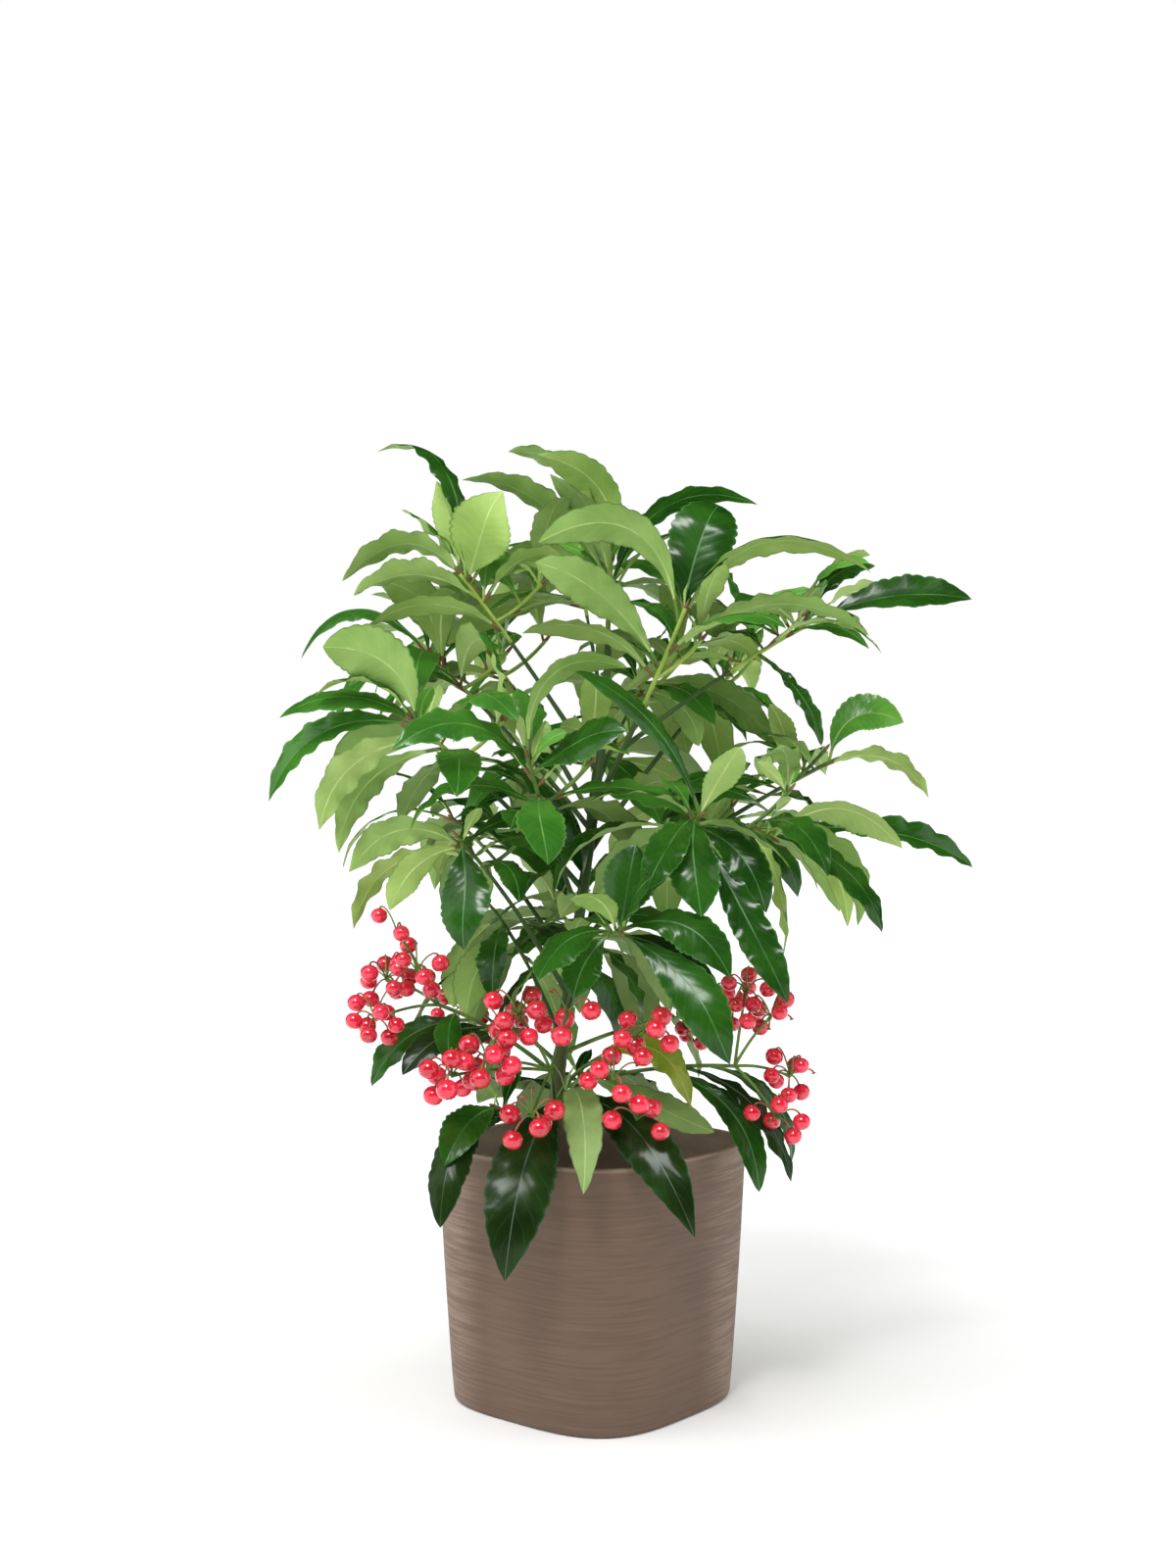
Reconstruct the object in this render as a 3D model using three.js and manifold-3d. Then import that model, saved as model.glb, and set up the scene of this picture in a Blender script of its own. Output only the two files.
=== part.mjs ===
// Potted coral-berry shrub (Ardisia crenata) in a rounded-square planter.
// Millimetres, +Z up, origin at the centre of the planter's flat underside.
// The viewer stands on the -Y side, with +X to the right.
import * as THREE from "three";
import { mergeVertices } from "three/addons/utils/BufferGeometryUtils.js";
import Module from "manifold-3d";

const wasm = await Module();
wasm.setup();

// Planter
const POT_HEIGHT = 129.6;
const POT_HALF_TOP = 68.4;
const POT_HALF_FOOT = 61.2;
const POT_SQUARENESS = 3.34;
const POT_TURN = THREE.MathUtils.degToRad(39.8);
const POT_WALL = 3;
const POT_FLOOR = 5;
const POT_SWELL = 0.5;
const OUTER_RINGS = [0.35, 0.7].map((share) => share * POT_HEIGHT);
const INNER_RINGS = [0.6, 0.08].map((share) => share * POT_HEIGHT);
const FOOT_ROUND = 2.6;
const RIM_ROUND = 0.8;
const POT_SIDES = 32;

// Potting soil inside the planter
const SOIL_TOP = 98;
const SOIL_PLAY = 1;
const SOIL_BEND = 0.12 * POT_HEIGHT;
const SOIL_SIDES = 16;

// Clearance between one solid and the next
const GAP = 0.3;
const GUARD = 0.4;

// Trunk: its foot on the soil, the two points that it leans by, its tip, and the tip of its leafy leader
const TRUNK_FOOT = [-21, 0, SOIL_TOP + GAP];
const TRUNK_LEAN = [[-21, 0, 190], [8, 4, 300]];
const TRUNK_TIP = [8, 8, 390];
const LEADER_TIP = [10, 10, 431];
const TRUNK_RADIUS_FOOT = 4.0;
const TRUNK_RADIUS_TIP = 1.7;
const ROOT_FLARE = 4.5;
const ROOT_FLARE_HEIGHT = 14;
const TRUNK_SIDES = 8;
const TRUNK_STEPS = 10;

// Boughs and shoots
const BOUGH_SIDES = 4;
const BOUGH_STEPS = 4;
const BOUGH_TAPER = 0.62;
const SHOOT_SIDES = 3;
const SHOOT_STEPS = 2;
const SHOOT_RADIUS_TIP = 1.3;
const TWIG_LENGTH = 30;
const TWIG_RISE = THREE.MathUtils.degToRad(40);
const TWIG_LEAVES = 3;
const TWIG_BOW = -2;

// Leaves: a flat blade with a keel below the midrib
const LEAF_WIDTH_SHARE = 0.34;
const LEAF_WIDEST = 31;
const LEAF_THICKNESS = 1.15;
const ROOT_SUNK = 0.4;
const ROOT_SLIMNESS = 0.45;
const PETIOLE_HALF_WIDTH = 0.9;
const LEAF_OUTLINE = [[0, 0], [0.12, 0], [0.42, 0.94], [0.76, 0.8]];
const BLADE_OUTLINE = LEAF_OUTLINE.slice(1);
const GOLDEN_ANGLE = THREE.MathUtils.degToRad(137.508);

// How a leaf that touches something is turned and raised, in radians, until it is clear
const NUDGES = [
  [0, 0], [0.2, 0], [-0.2, 0], [0, 0.2], [0, -0.2], [0.4, 0.1], [-0.4, 0.1], [0.5, -0.25], [-0.5, -0.25],
];
const LEADING_SHIFT = 22;

// The seeded rule: how much a leaf's bearing and rise may stray, the least and greatest share of the
// full length, the share that a top leaf has of it, the arch, and the slope of the upper face
const BEARING_PLAY = 0.5;
const RISE_PLAY = THREE.MathUtils.degToRad(16);
const LENGTH_PLAY = [0.86, 1.08];
const TOP_LEAF_LENGTH = 0.72;
const ARCH_PLAY = [0.12, 0.24];
const MOST_TILT = 0.9;
const LEAFY_STRETCH = [0.15, 0.95];
const FIRST_TWIG = 0.3;

// Fruit
const BERRY_RADIUS = 4.5;
const STALKLET_RADIUS = 0.55;
const RAY_RADIUS = 0.8;
const STALK_RADIUS = 1.2;
const HUB_RADIUS = 1.9;
const STALKLET_START = 1.1;
const UMBEL_RADIUS = 12.5;
const UMBEL_PLAY = [0.85, 1.15];
const UMBEL_DOME = 0.85;
const STALK_BOW = 4;
const RAY_BOW = 2;
const STALK_LEAVES = { first: 0.55, step: 0.15, arch: 0.16, facing: 0.8 };

// Colour, roughness and metalness of each finish
const FINISH = {
  planter: [0x7a6657, 0.62, 0],
  soil: [0x3a2a20, 0.95, 0],
  bark: [0x56663a, 0.75, 0],
  foliage: [0x3f7a35, 0.45, 0],
  fruit: [0xd8344a, 0.25, 0],
};

// Boughs. Each leaves the limb named first, a share of the way up it, and runs to its tip with an
// upward bow at its middle. The last number is the radius at its foot.
const BOUGHS = {
  top_left: ["trunk", 0.74, [-67, -10, 417], 3, 1.9],
  upper_right: ["trunk", 0.68, [46, -30, 398], -3, 2.3],
  far_upper_right: ["upper_right", 0.34, [119, 20, 398], 3, 1.8],
  middle_right: ["trunk", 0.47, [124, 10, 323], 6, 2.2],
  lower_right: ["middle_right", 0.5, [88, -50, 284], 4, 1.7],
  centre_right: ["middle_right", 0.3, [52, -66, 296], 4, 1.7],
  centre_left: ["trunk", 0.5, [-31, -70, 324], -4, 1.8],
  left: ["trunk", 0.54, [-89, -30, 342], 4, 2.0],
  upper_left: ["trunk", 0.64, [-87, 30, 378], 5, 1.8],
  lower_left: ["trunk", 0.36, [-66, -40, 285], 5, 1.9],
  front_centre: ["trunk", 0.33, [13, -95, 242], 12, 2.0],
  inner_left: ["trunk", 0.28, [-52, 22, 246], 6, 1.7],
  inner_right: ["trunk", 0.72, [32, 62, 372], 4, 1.6],
  back_left: ["trunk", 0.66, [-62, 98, 388], 5, 1.9],
  back_top: ["trunk", 0.84, [-8, 66, 430], 2, 1.6],
  back_right: ["trunk", 0.6, [84, 98, 378], 6, 2.0],
  back_low_left: ["trunk", 0.4, [-78, 92, 292], 8, 1.8],
  back_low_right: ["trunk", 0.43, [72, 100, 288], 8, 1.8],
  back_middle: ["trunk", 0.52, [4, 122, 338], 8, 1.9],
  back_low: ["trunk", 0.3, [-4, 92, 226], 12, 1.7],
};

// Masses of leaves, one at the end of each bough: the length of the leafy shoot, how many leaves and
// side twigs it bears by rule, the length of a full leaf, and how steeply the lowest and top leaves rise.
// Then come its leading leaves, the ones that make the crown's outline. Each leaves the shoot a share
// of the way up and ends at a tip, its midrib arched by a share of its length. The last number is how
// far its upper face turns to the viewer: where it is below nought the underside shows.
const FOLIAGE = {
  trunk_top: { shoot: 40, leaves: 6, twigs: 0, length: 74, rise: [5, 55], leading: [
    [0.8, [-28, 4, 481], 0.26, -0.7], [0.6, [-65, -6, 466], 0.16, 0.3], [0.95, [-43, 36, 488], 0.15, 0.6],
    [0.4, [83, 4, 454], 0.24, 0.6],
  ] },
  top_left: { shoot: 46, leaves: 6, twigs: 1, length: 78, rise: [-5, 50], leading: [
    [0.95, [-80, 4, 466], 0.06, -2], [0.85, [-51, -26, 456], 0.06, -2],
    [0.72, [-127, -6, 414], 0.3, -0.7],
    [0.6, [-118, -32, 404], 0.22, -0.8], [1, [-110, 22, 489], -0.12, 0.1], [0.66, [-98, 20, 451], 0.1, 0.5],
  ] },
  upper_right: { shoot: 52, leaves: 6, twigs: 1, length: 80, rise: [0, 50], leading: [
    [0.92, [59, -14, 451], 0.05, 2], [0.84, [-28, -52, 428], 0.32, -0.8], [0.4, [-31, -64, 419], 0.14, -0.8],
    [0.74, [139, -30, 418], 0.2, -0.4], [0.5, [136, -48, 385], 0.22, -0.4],
  ] },
  far_upper_right: { shoot: 60, leaves: 8, twigs: 1, length: 70, rise: [-10, 40], leading: [
    [0.92, [197, 18, 407], 0.12, 0.9], [0.82, [150, 34, 428], 0.14, 0.4], [0.6, [140, -10, 380], 0.18, 0.5],
    [0.3, [117, -16, 343], 0.2, 0.6], [0.7, [150, 72, 392], 0.2, 0.3],
  ] },
  middle_right: { shoot: 48, leaves: 8, twigs: 1, length: 66, rise: [-20, 40], leading: [
    [0.95, [157, 8, 347], 0.42, 0.8], [0.82, [174, 6, 305], 0.22, -0.6], [0.6, [128, 74, 316], 0.2, 0.3],
    [0.4, [90, -8, 352], 0.12, -0.6],
  ] },
  lower_right: { shoot: 40, leaves: 7, twigs: 1, length: 78, rise: [-35, 30], leading: [
    [0.92, [151, -56, 283], 0.28, -0.6], [0.76, [189, -16, 272], 0.24, 0.7],
    [0.6, [139, -78, 244], 0.16, 0.8],
    [0.45, [94, -66, 227], 0.1, -0.6], [0.3, [127, -24, 240], 0.2, 0.4],
  ] },
  centre_right: { shoot: 34, leaves: 5, twigs: 0, length: 72, rise: [-30, 45], leading: [
    [0.9, [-8, -92, 363], 0.14, 0.9], [0.7, [50, -98, 250], 0.16, 0.9], [0.5, [91, -84, 209], 0.2, 0.9],
    [0.8, [62, -84, 356], 0.05, -0.8], [0.3, [82, -70, 250], 0.18, 0.8],
    [0.6, [24, -106, 262], 0.16, 0.9],
  ] },
  centre_left: { shoot: 40, leaves: 6, twigs: 1, length: 76, rise: [-20, 45], leading: [
    [0.95, [16, -60, 373], 0.3, 0.6], [0.6, [-93, -92, 327], 0.24, 0.9], [0.75, [12, -94, 339], 0.05, 1],
    [0.4, [-20, -106, 275], 0.12, 1],
  ] },
  left: { shoot: 46, leaves: 6, twigs: 1, length: 84, rise: [-30, 35], leading: [
    [0.92, [-131, -44, 377], 0.2, -1], [0.78, [-158, -14, 345], 0.2, 0.5], [0.85, [-169, 6, 303], 0.3, 0.4],
    [0.65, [-137, -50, 291], 0.18, -0.9], [0.5, [-128, -22, 277], 0.22, 0.6], [0.4, [-63, -86, 306], 0.14, 1],
  ] },
  upper_left: { shoot: 42, leaves: 8, twigs: 1, length: 76, rise: [-10, 45], leading: [
    [0.9, [-157, 18, 381], 0.24, 0.6], [0.75, [-133, 48, 395], 0.2, 0.4], [0.55, [-96, 100, 370], 0.22, 0],
  ] },
  lower_left: { shoot: 36, leaves: 6, twigs: 1, length: 70, rise: [-40, 25], leading: [
    [0.92, [-64, -68, 233], 0.06, 1], [0.8, [-98, -54, 250], 0.18, -0.8], [0.66, [-127, -18, 277], 0.2, 0.6],
    [0.5, [-121, 4, 241], 0.2, -0.6], [0.38, [-34, -68, 256], 0.16, 1],
  ] },
  front_centre: { shoot: 34, leaves: 5, twigs: 0, length: 70, rise: [-40, 45], leading: [
    [0.85, [60, -122, 186], 0.12, 0.9], [0.7, [63, -104, 222], 0.16, 0.8], [0.96, [20, -100, 289], 0.05, 1],
    [0.9, [26, -126, 269], 0.05, 1], [0.55, [-25, -114, 222], 0.16, 0.9], [0.4, [-9, -88, 211], 0.1, 0.9],
  ] },
  inner_left: { shoot: 40, leaves: 6, twigs: 1, length: 76, rise: [-45, 20], leading: [
    [0.5, [-82, -6, 205], 0.2, 1.2], [0.8, [-112, 34, 222], 0.2, 0.8], [0.65, [-50, -22, 202], 0.2, 1.2],
  ] },
  inner_right: { shoot: 42, leaves: 8, twigs: 1, length: 72, rise: [-15, 45], leading: [
    [0.5, [58, 12, 330], 0.12, -0.6], [0.7, [88, 34, 342], 0.16, -0.6],
  ] },
  back_left: { shoot: 46, leaves: 8, twigs: 1, length: 82, rise: [-20, 45], leading: [
    [0.8, [-118, 138, 378], 0.22, 0], [0.65, [-56, 164, 384], 0.22, 0],
  ] },
  back_top: { shoot: 40, leaves: 8, twigs: 1, length: 76, rise: [-10, 55], leading: [
    [0.8, [-14, 138, 432], 0.26, 0], [0.65, [52, 108, 440], 0.22, 0],
  ] },
  back_right: { shoot: 50, leaves: 8, twigs: 1, length: 80, rise: [-20, 45], leading: [
    [0.8, [150, 118, 372], 0.22, 0], [0.65, [96, 168, 366], 0.22, 0],
  ] },
  back_low_left: { shoot: 44, leaves: 8, twigs: 1, length: 80, rise: [-40, 25], leading: [
    [0.8, [-146, 112, 266], 0.22, 0], [0.6, [-92, 156, 250], 0.22, 0],
  ] },
  back_low_right: { shoot: 44, leaves: 8, twigs: 1, length: 80, rise: [-40, 25], leading: [
    [0.8, [142, 116, 262], 0.22, 0], [0.6, [84, 162, 246], 0.22, 0],
  ] },
  back_middle: { shoot: 48, leaves: 8, twigs: 1, length: 84, rise: [-35, 35], leading: [
    [0.8, [10, 192, 316], 0.24, 0], [0.6, [-48, 170, 296], 0.22, 0],
  ] },
  back_low: { shoot: 36, leaves: 7, twigs: 0, length: 78, rise: [-45, 10], leading: [
    [0.7, [-8, 146, 178], 0.22, 0], [0.5, [44, 120, 190], 0.2, 0],
  ] },
};

// Low shoots straight from the trunk, whose leaves hang over the planter's rim. Each gives how far up
// the trunk it starts, its own tip, and then its leading leaves as above.
const SKIRTS = {
  skirt_front: [0.13, [-13, -30, 158], [
    [0.95, [-40, -106, 84], 0.2, 1], [0.8, [46, -104, 104], 0.22, 0.9], [0.5, [6, -84, 150], 0.2, -0.6],
    [0.7, [-2, -98, 122], 0.3, -0.6],
  ]],
  skirt_left: [0.1, [-48, -34, 152], [
    [0.9, [-70, -76, 132], 0.16, 0.9], [0.7, [-75, -94, 109], 0.24, 0.9], [0.5, [-93, -30, 160], 0.2, 0.6],
  ]],
  skirt_back: [0.12, [-6, 34, 156], [
    [0.9, [-34, 98, 112], 0.22, 0], [0.7, [36, 96, 118], 0.22, 0], [0.5, [-62, 62, 138], 0.2, 0],
  ]],
};

// Fruit: the limb that the stalk leaves and how far up it, the hub where the stalk forks, the hubs of
// the umbels with their number of berries, and the tips of the leaves that the stalk bears.
const FRUIT = {
  berries_left: ["trunk", 0.22, [-76, -32, 202], [
    [[-107, -36, 195], 5], [[-103, -20, 213], 4], [[-86, -40, 219], 4], [[-97, -30, 238], 2],
  ], [[-92, -52, 172], [-111, -20, 160], [-69, -50, 176]]],
  berries_centre: ["trunk", 0.16, [-20, -62, 174], [
    [[-49, -84, 181], 5], [[-35, -72, 201], 4], [[-28, -92, 157], 4], [[-66, -86, 175], 3],
    [[-12, -84, 203], 2],
  ], []],
  berries_centre_right: ["trunk", 0.18, [2, -60, 178], [
    [[25, -84, 194], 5], [[10, -88, 174], 3], [[21, -82, 154], 3],
  ], [[40, -62, 146], [46, -50, 176]]],
  berries_right: ["trunk", 0.2, [70, -34, 172], [
    [[87, -42, 197], 4], [[76, -28, 208], 3], [[98, -28, 166], 4], [[90, -46, 148], 4],
  ], [[82, -44, 112], [98, -34, 116], [106, -16, 122]]],
  berries_back_left: ["trunk", 0.24, [-54, 62, 182], [
    [[-72, 80, 186], 4], [[-50, 86, 176], 4],
  ], [[-84, 84, 146], [-58, 104, 140]]],
  berries_back_right: ["trunk", 0.26, [58, 58, 186], [
    [[78, 72, 190], 4], [[60, 84, 178], 4],
  ], [[92, 76, 150], [62, 104, 146]]],
};

const SKIRT_BOW = 2;

// Vectors, chance and closed solids
const UP = new THREE.Vector3(0, 0, 1);
const TO_VIEWER = new THREE.Vector3(0, -1, 0);
const mix = THREE.MathUtils.lerp;
const vector = (place) => new THREE.Vector3(...place);

// A repeatable stream of numbers from 0 to 1.
function chance(seed) {
  let state = seed;
  return () => {
    state = (state * 16807) % 2147483647;
    return state / 2147483647;
  };
}

function solidFrom(geometry) {
  const bare = geometry.clone();
  bare.deleteAttribute("normal");
  bare.deleteAttribute("uv");
  const merged = mergeVertices(bare);
  const mesh = new wasm.Mesh({
    numProp: 3,
    vertProperties: merged.attributes.position.array,
    triVerts: new Uint32Array(merged.index.array),
  });
  return new wasm.Manifold(mesh);
}

// The one body that matters: a sealed hollow is filled and a loose scrap dropped.
function mainBody(solid) {
  const bodies = solid.decompose();
  return bodies.reduce((best, body) => (body.volume() > best.volume() ? body : best));
}

function geometryFrom(solid) {
  const { vertProperties, triVerts } = solid.getMesh();
  const geometry = new THREE.BufferGeometry();
  geometry.setAttribute("position", new THREE.BufferAttribute(vertProperties, 3));
  geometry.setIndex(new THREE.BufferAttribute(triVerts, 1));
  return geometry;
}

function eachVertex(geometry, place) {
  const position = geometry.attributes.position;
  const local = new THREE.Vector3();
  for (let i = 0; i < position.count; i += 1) {
    const moved = place(local.fromBufferAttribute(position, i).clone());
    position.setXYZ(i, moved.x, moved.y, moved.z);
  }
  return geometry;
}

// Planter and soil: a turned profile pushed out to a rounded square
function squared(profile, sides) {
  const turned = new THREE.LatheGeometry(profile.map(([r, z]) => new THREE.Vector2(r, z)), sides);
  return eachVertex(turned, ({ x, y, z }) => {
    const angle = Math.atan2(z, x) - POT_TURN;
    const across = Math.abs(Math.cos(angle)) ** POT_SQUARENESS;
    const along = Math.abs(Math.sin(angle)) ** POT_SQUARENESS;
    const reach = (across + along) ** (-1 / POT_SQUARENESS);
    return new THREE.Vector3(x * reach, -z * reach, y);
  });
}

function wallHalf(z) {
  const share = z / POT_HEIGHT;
  return mix(POT_HALF_FOOT, POT_HALF_TOP, share) + POT_SWELL * 4 * share * (1 - share);
}

function planter() {
  const outer = [0, 45, 90].map((degrees) => {
    const angle = THREE.MathUtils.degToRad(degrees);
    const z = FOOT_ROUND * (1 - Math.sin(angle));
    return [wallHalf(z) - FOOT_ROUND * (1 - Math.cos(angle)), z];
  }).reverse();
  const walls = OUTER_RINGS.map((z) => [wallHalf(z), z]);
  const rim = [
    [POT_HALF_TOP, POT_HEIGHT - RIM_ROUND],
    [POT_HALF_TOP - RIM_ROUND, POT_HEIGHT],
    [POT_HALF_TOP - POT_WALL + RIM_ROUND, POT_HEIGHT],
    [POT_HALF_TOP - POT_WALL, POT_HEIGHT - RIM_ROUND],
  ];
  const inner = INNER_RINGS.map((z) => [wallHalf(z) - POT_WALL, z]);
  const floor = [[wallHalf(0) - POT_WALL - FOOT_ROUND, POT_FLOOR], [0, POT_FLOOR]];
  return solidFrom(squared([[0, 0], ...outer, ...walls, ...rim, ...inner, ...floor], POT_SIDES));
}

function soil() {
  const inset = POT_WALL + SOIL_PLAY;
  const bottom = POT_FLOOR + SOIL_PLAY;
  const profile = [
    [0, bottom],
    [wallHalf(0) - inset - FOOT_ROUND, bottom],
    [wallHalf(SOIL_BEND) - inset, SOIL_BEND],
    [wallHalf(SOIL_TOP) - inset, SOIL_TOP],
    [0, SOIL_TOP],
  ];
  return solidFrom(squared(profile, SOIL_SIDES));
}

// Limbs: a cylinder laid along a curve, with its own radius at each step
function limb(curve, from, to, radiusAt, sides, steps) {
  const chord = curve.getPoint(1).sub(curve.getPoint(0)).normalize();
  const level = Math.abs(chord.z) > 0.98 ? TO_VIEWER : UP;
  const flat = new THREE.Vector3().crossVectors(chord, level);
  const cylinder = new THREE.CylinderGeometry(1, 1, 1, sides, steps);
  return solidFrom(eachVertex(cylinder, ({ x, y, z }) => {
    const t = mix(from, to, y + 0.5);
    const along = curve.getTangent(t);
    const side = new THREE.Vector3().crossVectors(along, flat).normalize();
    const front = new THREE.Vector3().crossVectors(side, along);
    const radius = radiusAt(t);
    return curve.getPoint(t).addScaledVector(side, x * radius).addScaledVector(front, z * radius);
  }));
}

function bowed(start, tip, bow) {
  const control = start.clone().add(tip).multiplyScalar(0.5).addScaledVector(UP, 2 * bow);
  return new THREE.QuadraticBezierCurve3(start, control, tip);
}

// Leaves: a three-sided sphere drawn out along an arched midrib, its keel below
function midrib(base, tip, arch) {
  const chord = tip.clone().sub(base);
  const length = chord.length();
  const lift = UP.clone().addScaledVector(chord, -chord.z / length ** 2).normalize();
  const control = base.clone().add(tip).multiplyScalar(0.5).addScaledVector(lift, 2 * arch * length);
  return { curve: new THREE.QuadraticBezierCurve3(base, control, tip), length };
}

function leaf({ base, tip, arch, faces }, guard, outline) {
  const { curve, length } = midrib(base, tip, arch);
  const chord = tip.clone().sub(base).normalize();
  const upper = faces.clone().addScaledVector(chord, -faces.dot(chord)).normalize();
  const halfWidth = Math.min(length * LEAF_WIDTH_SHARE, LEAF_WIDEST) / 2;
  const rings = outline.length;
  const drawn = new THREE.SphereGeometry(1, 3, rings + 1).rotateY(-Math.PI / 2);
  return solidFrom(eachVertex(drawn, (point) => {
    const polar = Math.acos(THREE.MathUtils.clamp(point.y, -1, 1));
    const ring = rings - Math.round((polar / Math.PI) * (rings + 1));
    if (ring >= rings) return tip.clone();
    const [first] = outline[0];
    const along = curve.getTangent(ring < 0 ? first : outline[ring][0]);
    if (ring < 0) return curve.getPoint(first).addScaledVector(along, -ROOT_SUNK);
    const [share, width] = outline[ring];
    const top = upper.clone().addScaledVector(along, -upper.dot(along)).normalize();
    const side = new THREE.Vector3().crossVectors(along, top);
    const across = point.x / Math.sin(polar) / Math.sin(Math.PI / 3);
    const below = (point.z / Math.sin(polar) - 0.5) / 1.5;
    const slimness = share === 0 ? ROOT_SLIMNESS : 1;
    const half = Math.max(width * halfWidth, PETIOLE_HALF_WIDTH) * slimness + guard;
    const height = (below + 0.5) * (LEAF_THICKNESS * slimness + 2 * guard);
    return curve.getPoint(share).addScaledVector(side, across * half).addScaledVector(top, height);
  }));
}

// The growing plant: each solid by name, a slightly fatter guard for each limb, and the limbs' courses
const solids = new Map();
const finishes = new Map();
const guards = new Map();
const limbs = new Map();

function keep(name, solid, finish) {
  solids.set(name, solid);
  finishes.set(name, finish);
}

function boxesMeet(a, b) {
  return [0, 1, 2].every((axis) => a.min[axis] < b.max[axis] && b.min[axis] < a.max[axis]);
}

function touches(guard, solid) {
  return boxesMeet(guard.boundingBox(), solid.boundingBox()) && guard.intersect(solid).volume() > 0;
}

// Whether a guard shape stays out of every solid but its own.
function clear(guard, own) {
  return [...solids].every(([name, solid]) => name === own || !touches(guard, solid));
}

// Trunk and boughs
function growTrunk() {
  const curve = new THREE.CubicBezierCurve3(vector(TRUNK_FOOT), ...TRUNK_LEAN.map(vector), vector(TRUNK_TIP));
  const radiusAt = (t) => {
    const height = curve.getPoint(t).z - TRUNK_FOOT[2];
    const flare = ROOT_FLARE * Math.max(0, 1 - height / ROOT_FLARE_HEIGHT) ** 2;
    return mix(TRUNK_RADIUS_FOOT, TRUNK_RADIUS_TIP, t) + flare;
  };
  limbs.set("trunk", curve);
  guards.set("trunk", limb(curve, 0, 1, (t) => radiusAt(t) + GUARD, TRUNK_SIDES, TRUNK_STEPS));
  keep("trunk", limb(curve, 0, 1, radiusAt, TRUNK_SIDES, TRUNK_STEPS), "bark");
}

function growBough(name, [parent, share, tip, bow, radius], shootLength) {
  const curve = bowed(limbs.get(parent).getPoint(share), vector(tip), bow);
  const end = 1 - shootLength / curve.getLength();
  const radiusAt = (t) => radius * mix(1, BOUGH_TAPER, t / end);
  const grown = limb(curve, 0, end, radiusAt, BOUGH_SIDES, BOUGH_STEPS);
  limbs.set(name, curve);
  guards.set(name, limb(curve, 0, end, (t) => radiusAt(t) + GUARD, BOUGH_SIDES, BOUGH_STEPS));
  keep(`bough_${name}`, mainBody(grown.subtract(guards.get(parent))), "bark");
  const from = end + GAP / curve.getLength();
  return { curve, from, radius: Math.max(radius * BOUGH_TAPER, SHOOT_RADIUS_TIP), steps: SHOOT_STEPS };
}

// Leafy shoots
function shootPoint(shoot, share) {
  return shoot.curve.getPoint(mix(shoot.from, 1, share));
}

function shootSolid(shoot) {
  const radiusAt = (t) => mix(shoot.radius, SHOOT_RADIUS_TIP, (t - shoot.from) / (1 - shoot.from));
  return limb(shoot.curve, shoot.from, 1, radiusAt, SHOOT_SIDES, shoot.steps);
}

function reached(base, bearing, rise, length) {
  const level = Math.cos(rise) * length;
  const east = Math.cos(bearing) * level;
  const north = Math.sin(bearing) * level;
  return base.clone().add(new THREE.Vector3(east, north, Math.sin(rise) * length));
}

function sideTwig(shoot, share, bearing) {
  const base = shootPoint(shoot, share);
  const curve = bowed(base, reached(base, bearing, TWIG_RISE, TWIG_LENGTH), TWIG_BOW);
  return { curve, from: 0, radius: SHOOT_RADIUS_TIP, steps: 1 };
}

// A shoot's solid starts as its leader and side twigs; its leaves come once all the shoots stand.
function growShoot(name, leader, twigCount, draw) {
  const turn = draw() * 2 * Math.PI;
  const twigs = Array.from({ length: twigCount }, (_, i) => (
    sideTwig(leader, FIRST_TWIG * (i + 1), turn + i * GOLDEN_ANGLE)
  ));
  const wood = twigs.reduce((joined, twig) => joined.add(shootSolid(twig)), shootSolid(leader));
  keep(name, wood, "foliage");
  return { name, leader, twigs, turn, draw };
}

// The leaf is turned a little at a time until it is clear of all the rest, or else it is skipped.
function addLeaf(name, leafAt) {
  for (const nudge of NUDGES) {
    const grown = leafAt(nudge);
    const blade = leaf(grown, 0, BLADE_OUTLINE);
    if (clear(leaf(grown, GUARD, LEAF_OUTLINE), name) && !touches(blade, solids.get(name))) {
      keep(name, solids.get(name).add(leaf(grown, 0, LEAF_OUTLINE)), finishes.get(name));
      return;
    }
  }
}

function addLeadingLeaf(name, base, tip, arch, facing) {
  const faces = UP.clone().addScaledVector(TO_VIEWER, facing);
  addLeaf(name, ([turned, raised]) => {
    const shift = new THREE.Vector3(0, turned, raised).multiplyScalar(LEADING_SHIFT);
    return { base, tip: vector(tip).add(shift), arch, faces };
  });
}

// A leaf of the seeded rule: its bearing goes round by the golden angle, and it climbs with its place.
function addRuledLeaf(name, shoot, mass, place, count, turn, draw) {
  const share = count > 1 ? place / (count - 1) : 0.5;
  const bearing = turn + place * GOLDEN_ANGLE + (draw() - 0.5) * BEARING_PLAY;
  const rise = THREE.MathUtils.degToRad(mix(...mass.rise, share)) + (draw() - 0.5) * RISE_PLAY;
  const length = mass.length * mix(1, TOP_LEAF_LENGTH, share) * mix(...LENGTH_PLAY, draw());
  const arch = mix(...ARCH_PLAY, draw());
  const tilted = 2 * Math.PI * draw();
  const tilt = MOST_TILT * draw();
  const faces = new THREE.Vector3(Math.cos(tilted) * tilt, Math.sin(tilted) * tilt, 1);
  const base = shootPoint(shoot, mix(...LEAFY_STRETCH, share));
  addLeaf(name, ([turned, raised]) => (
    { base, tip: reached(base, bearing + turned, rise + raised, length), arch, faces }
  ));
}

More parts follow.
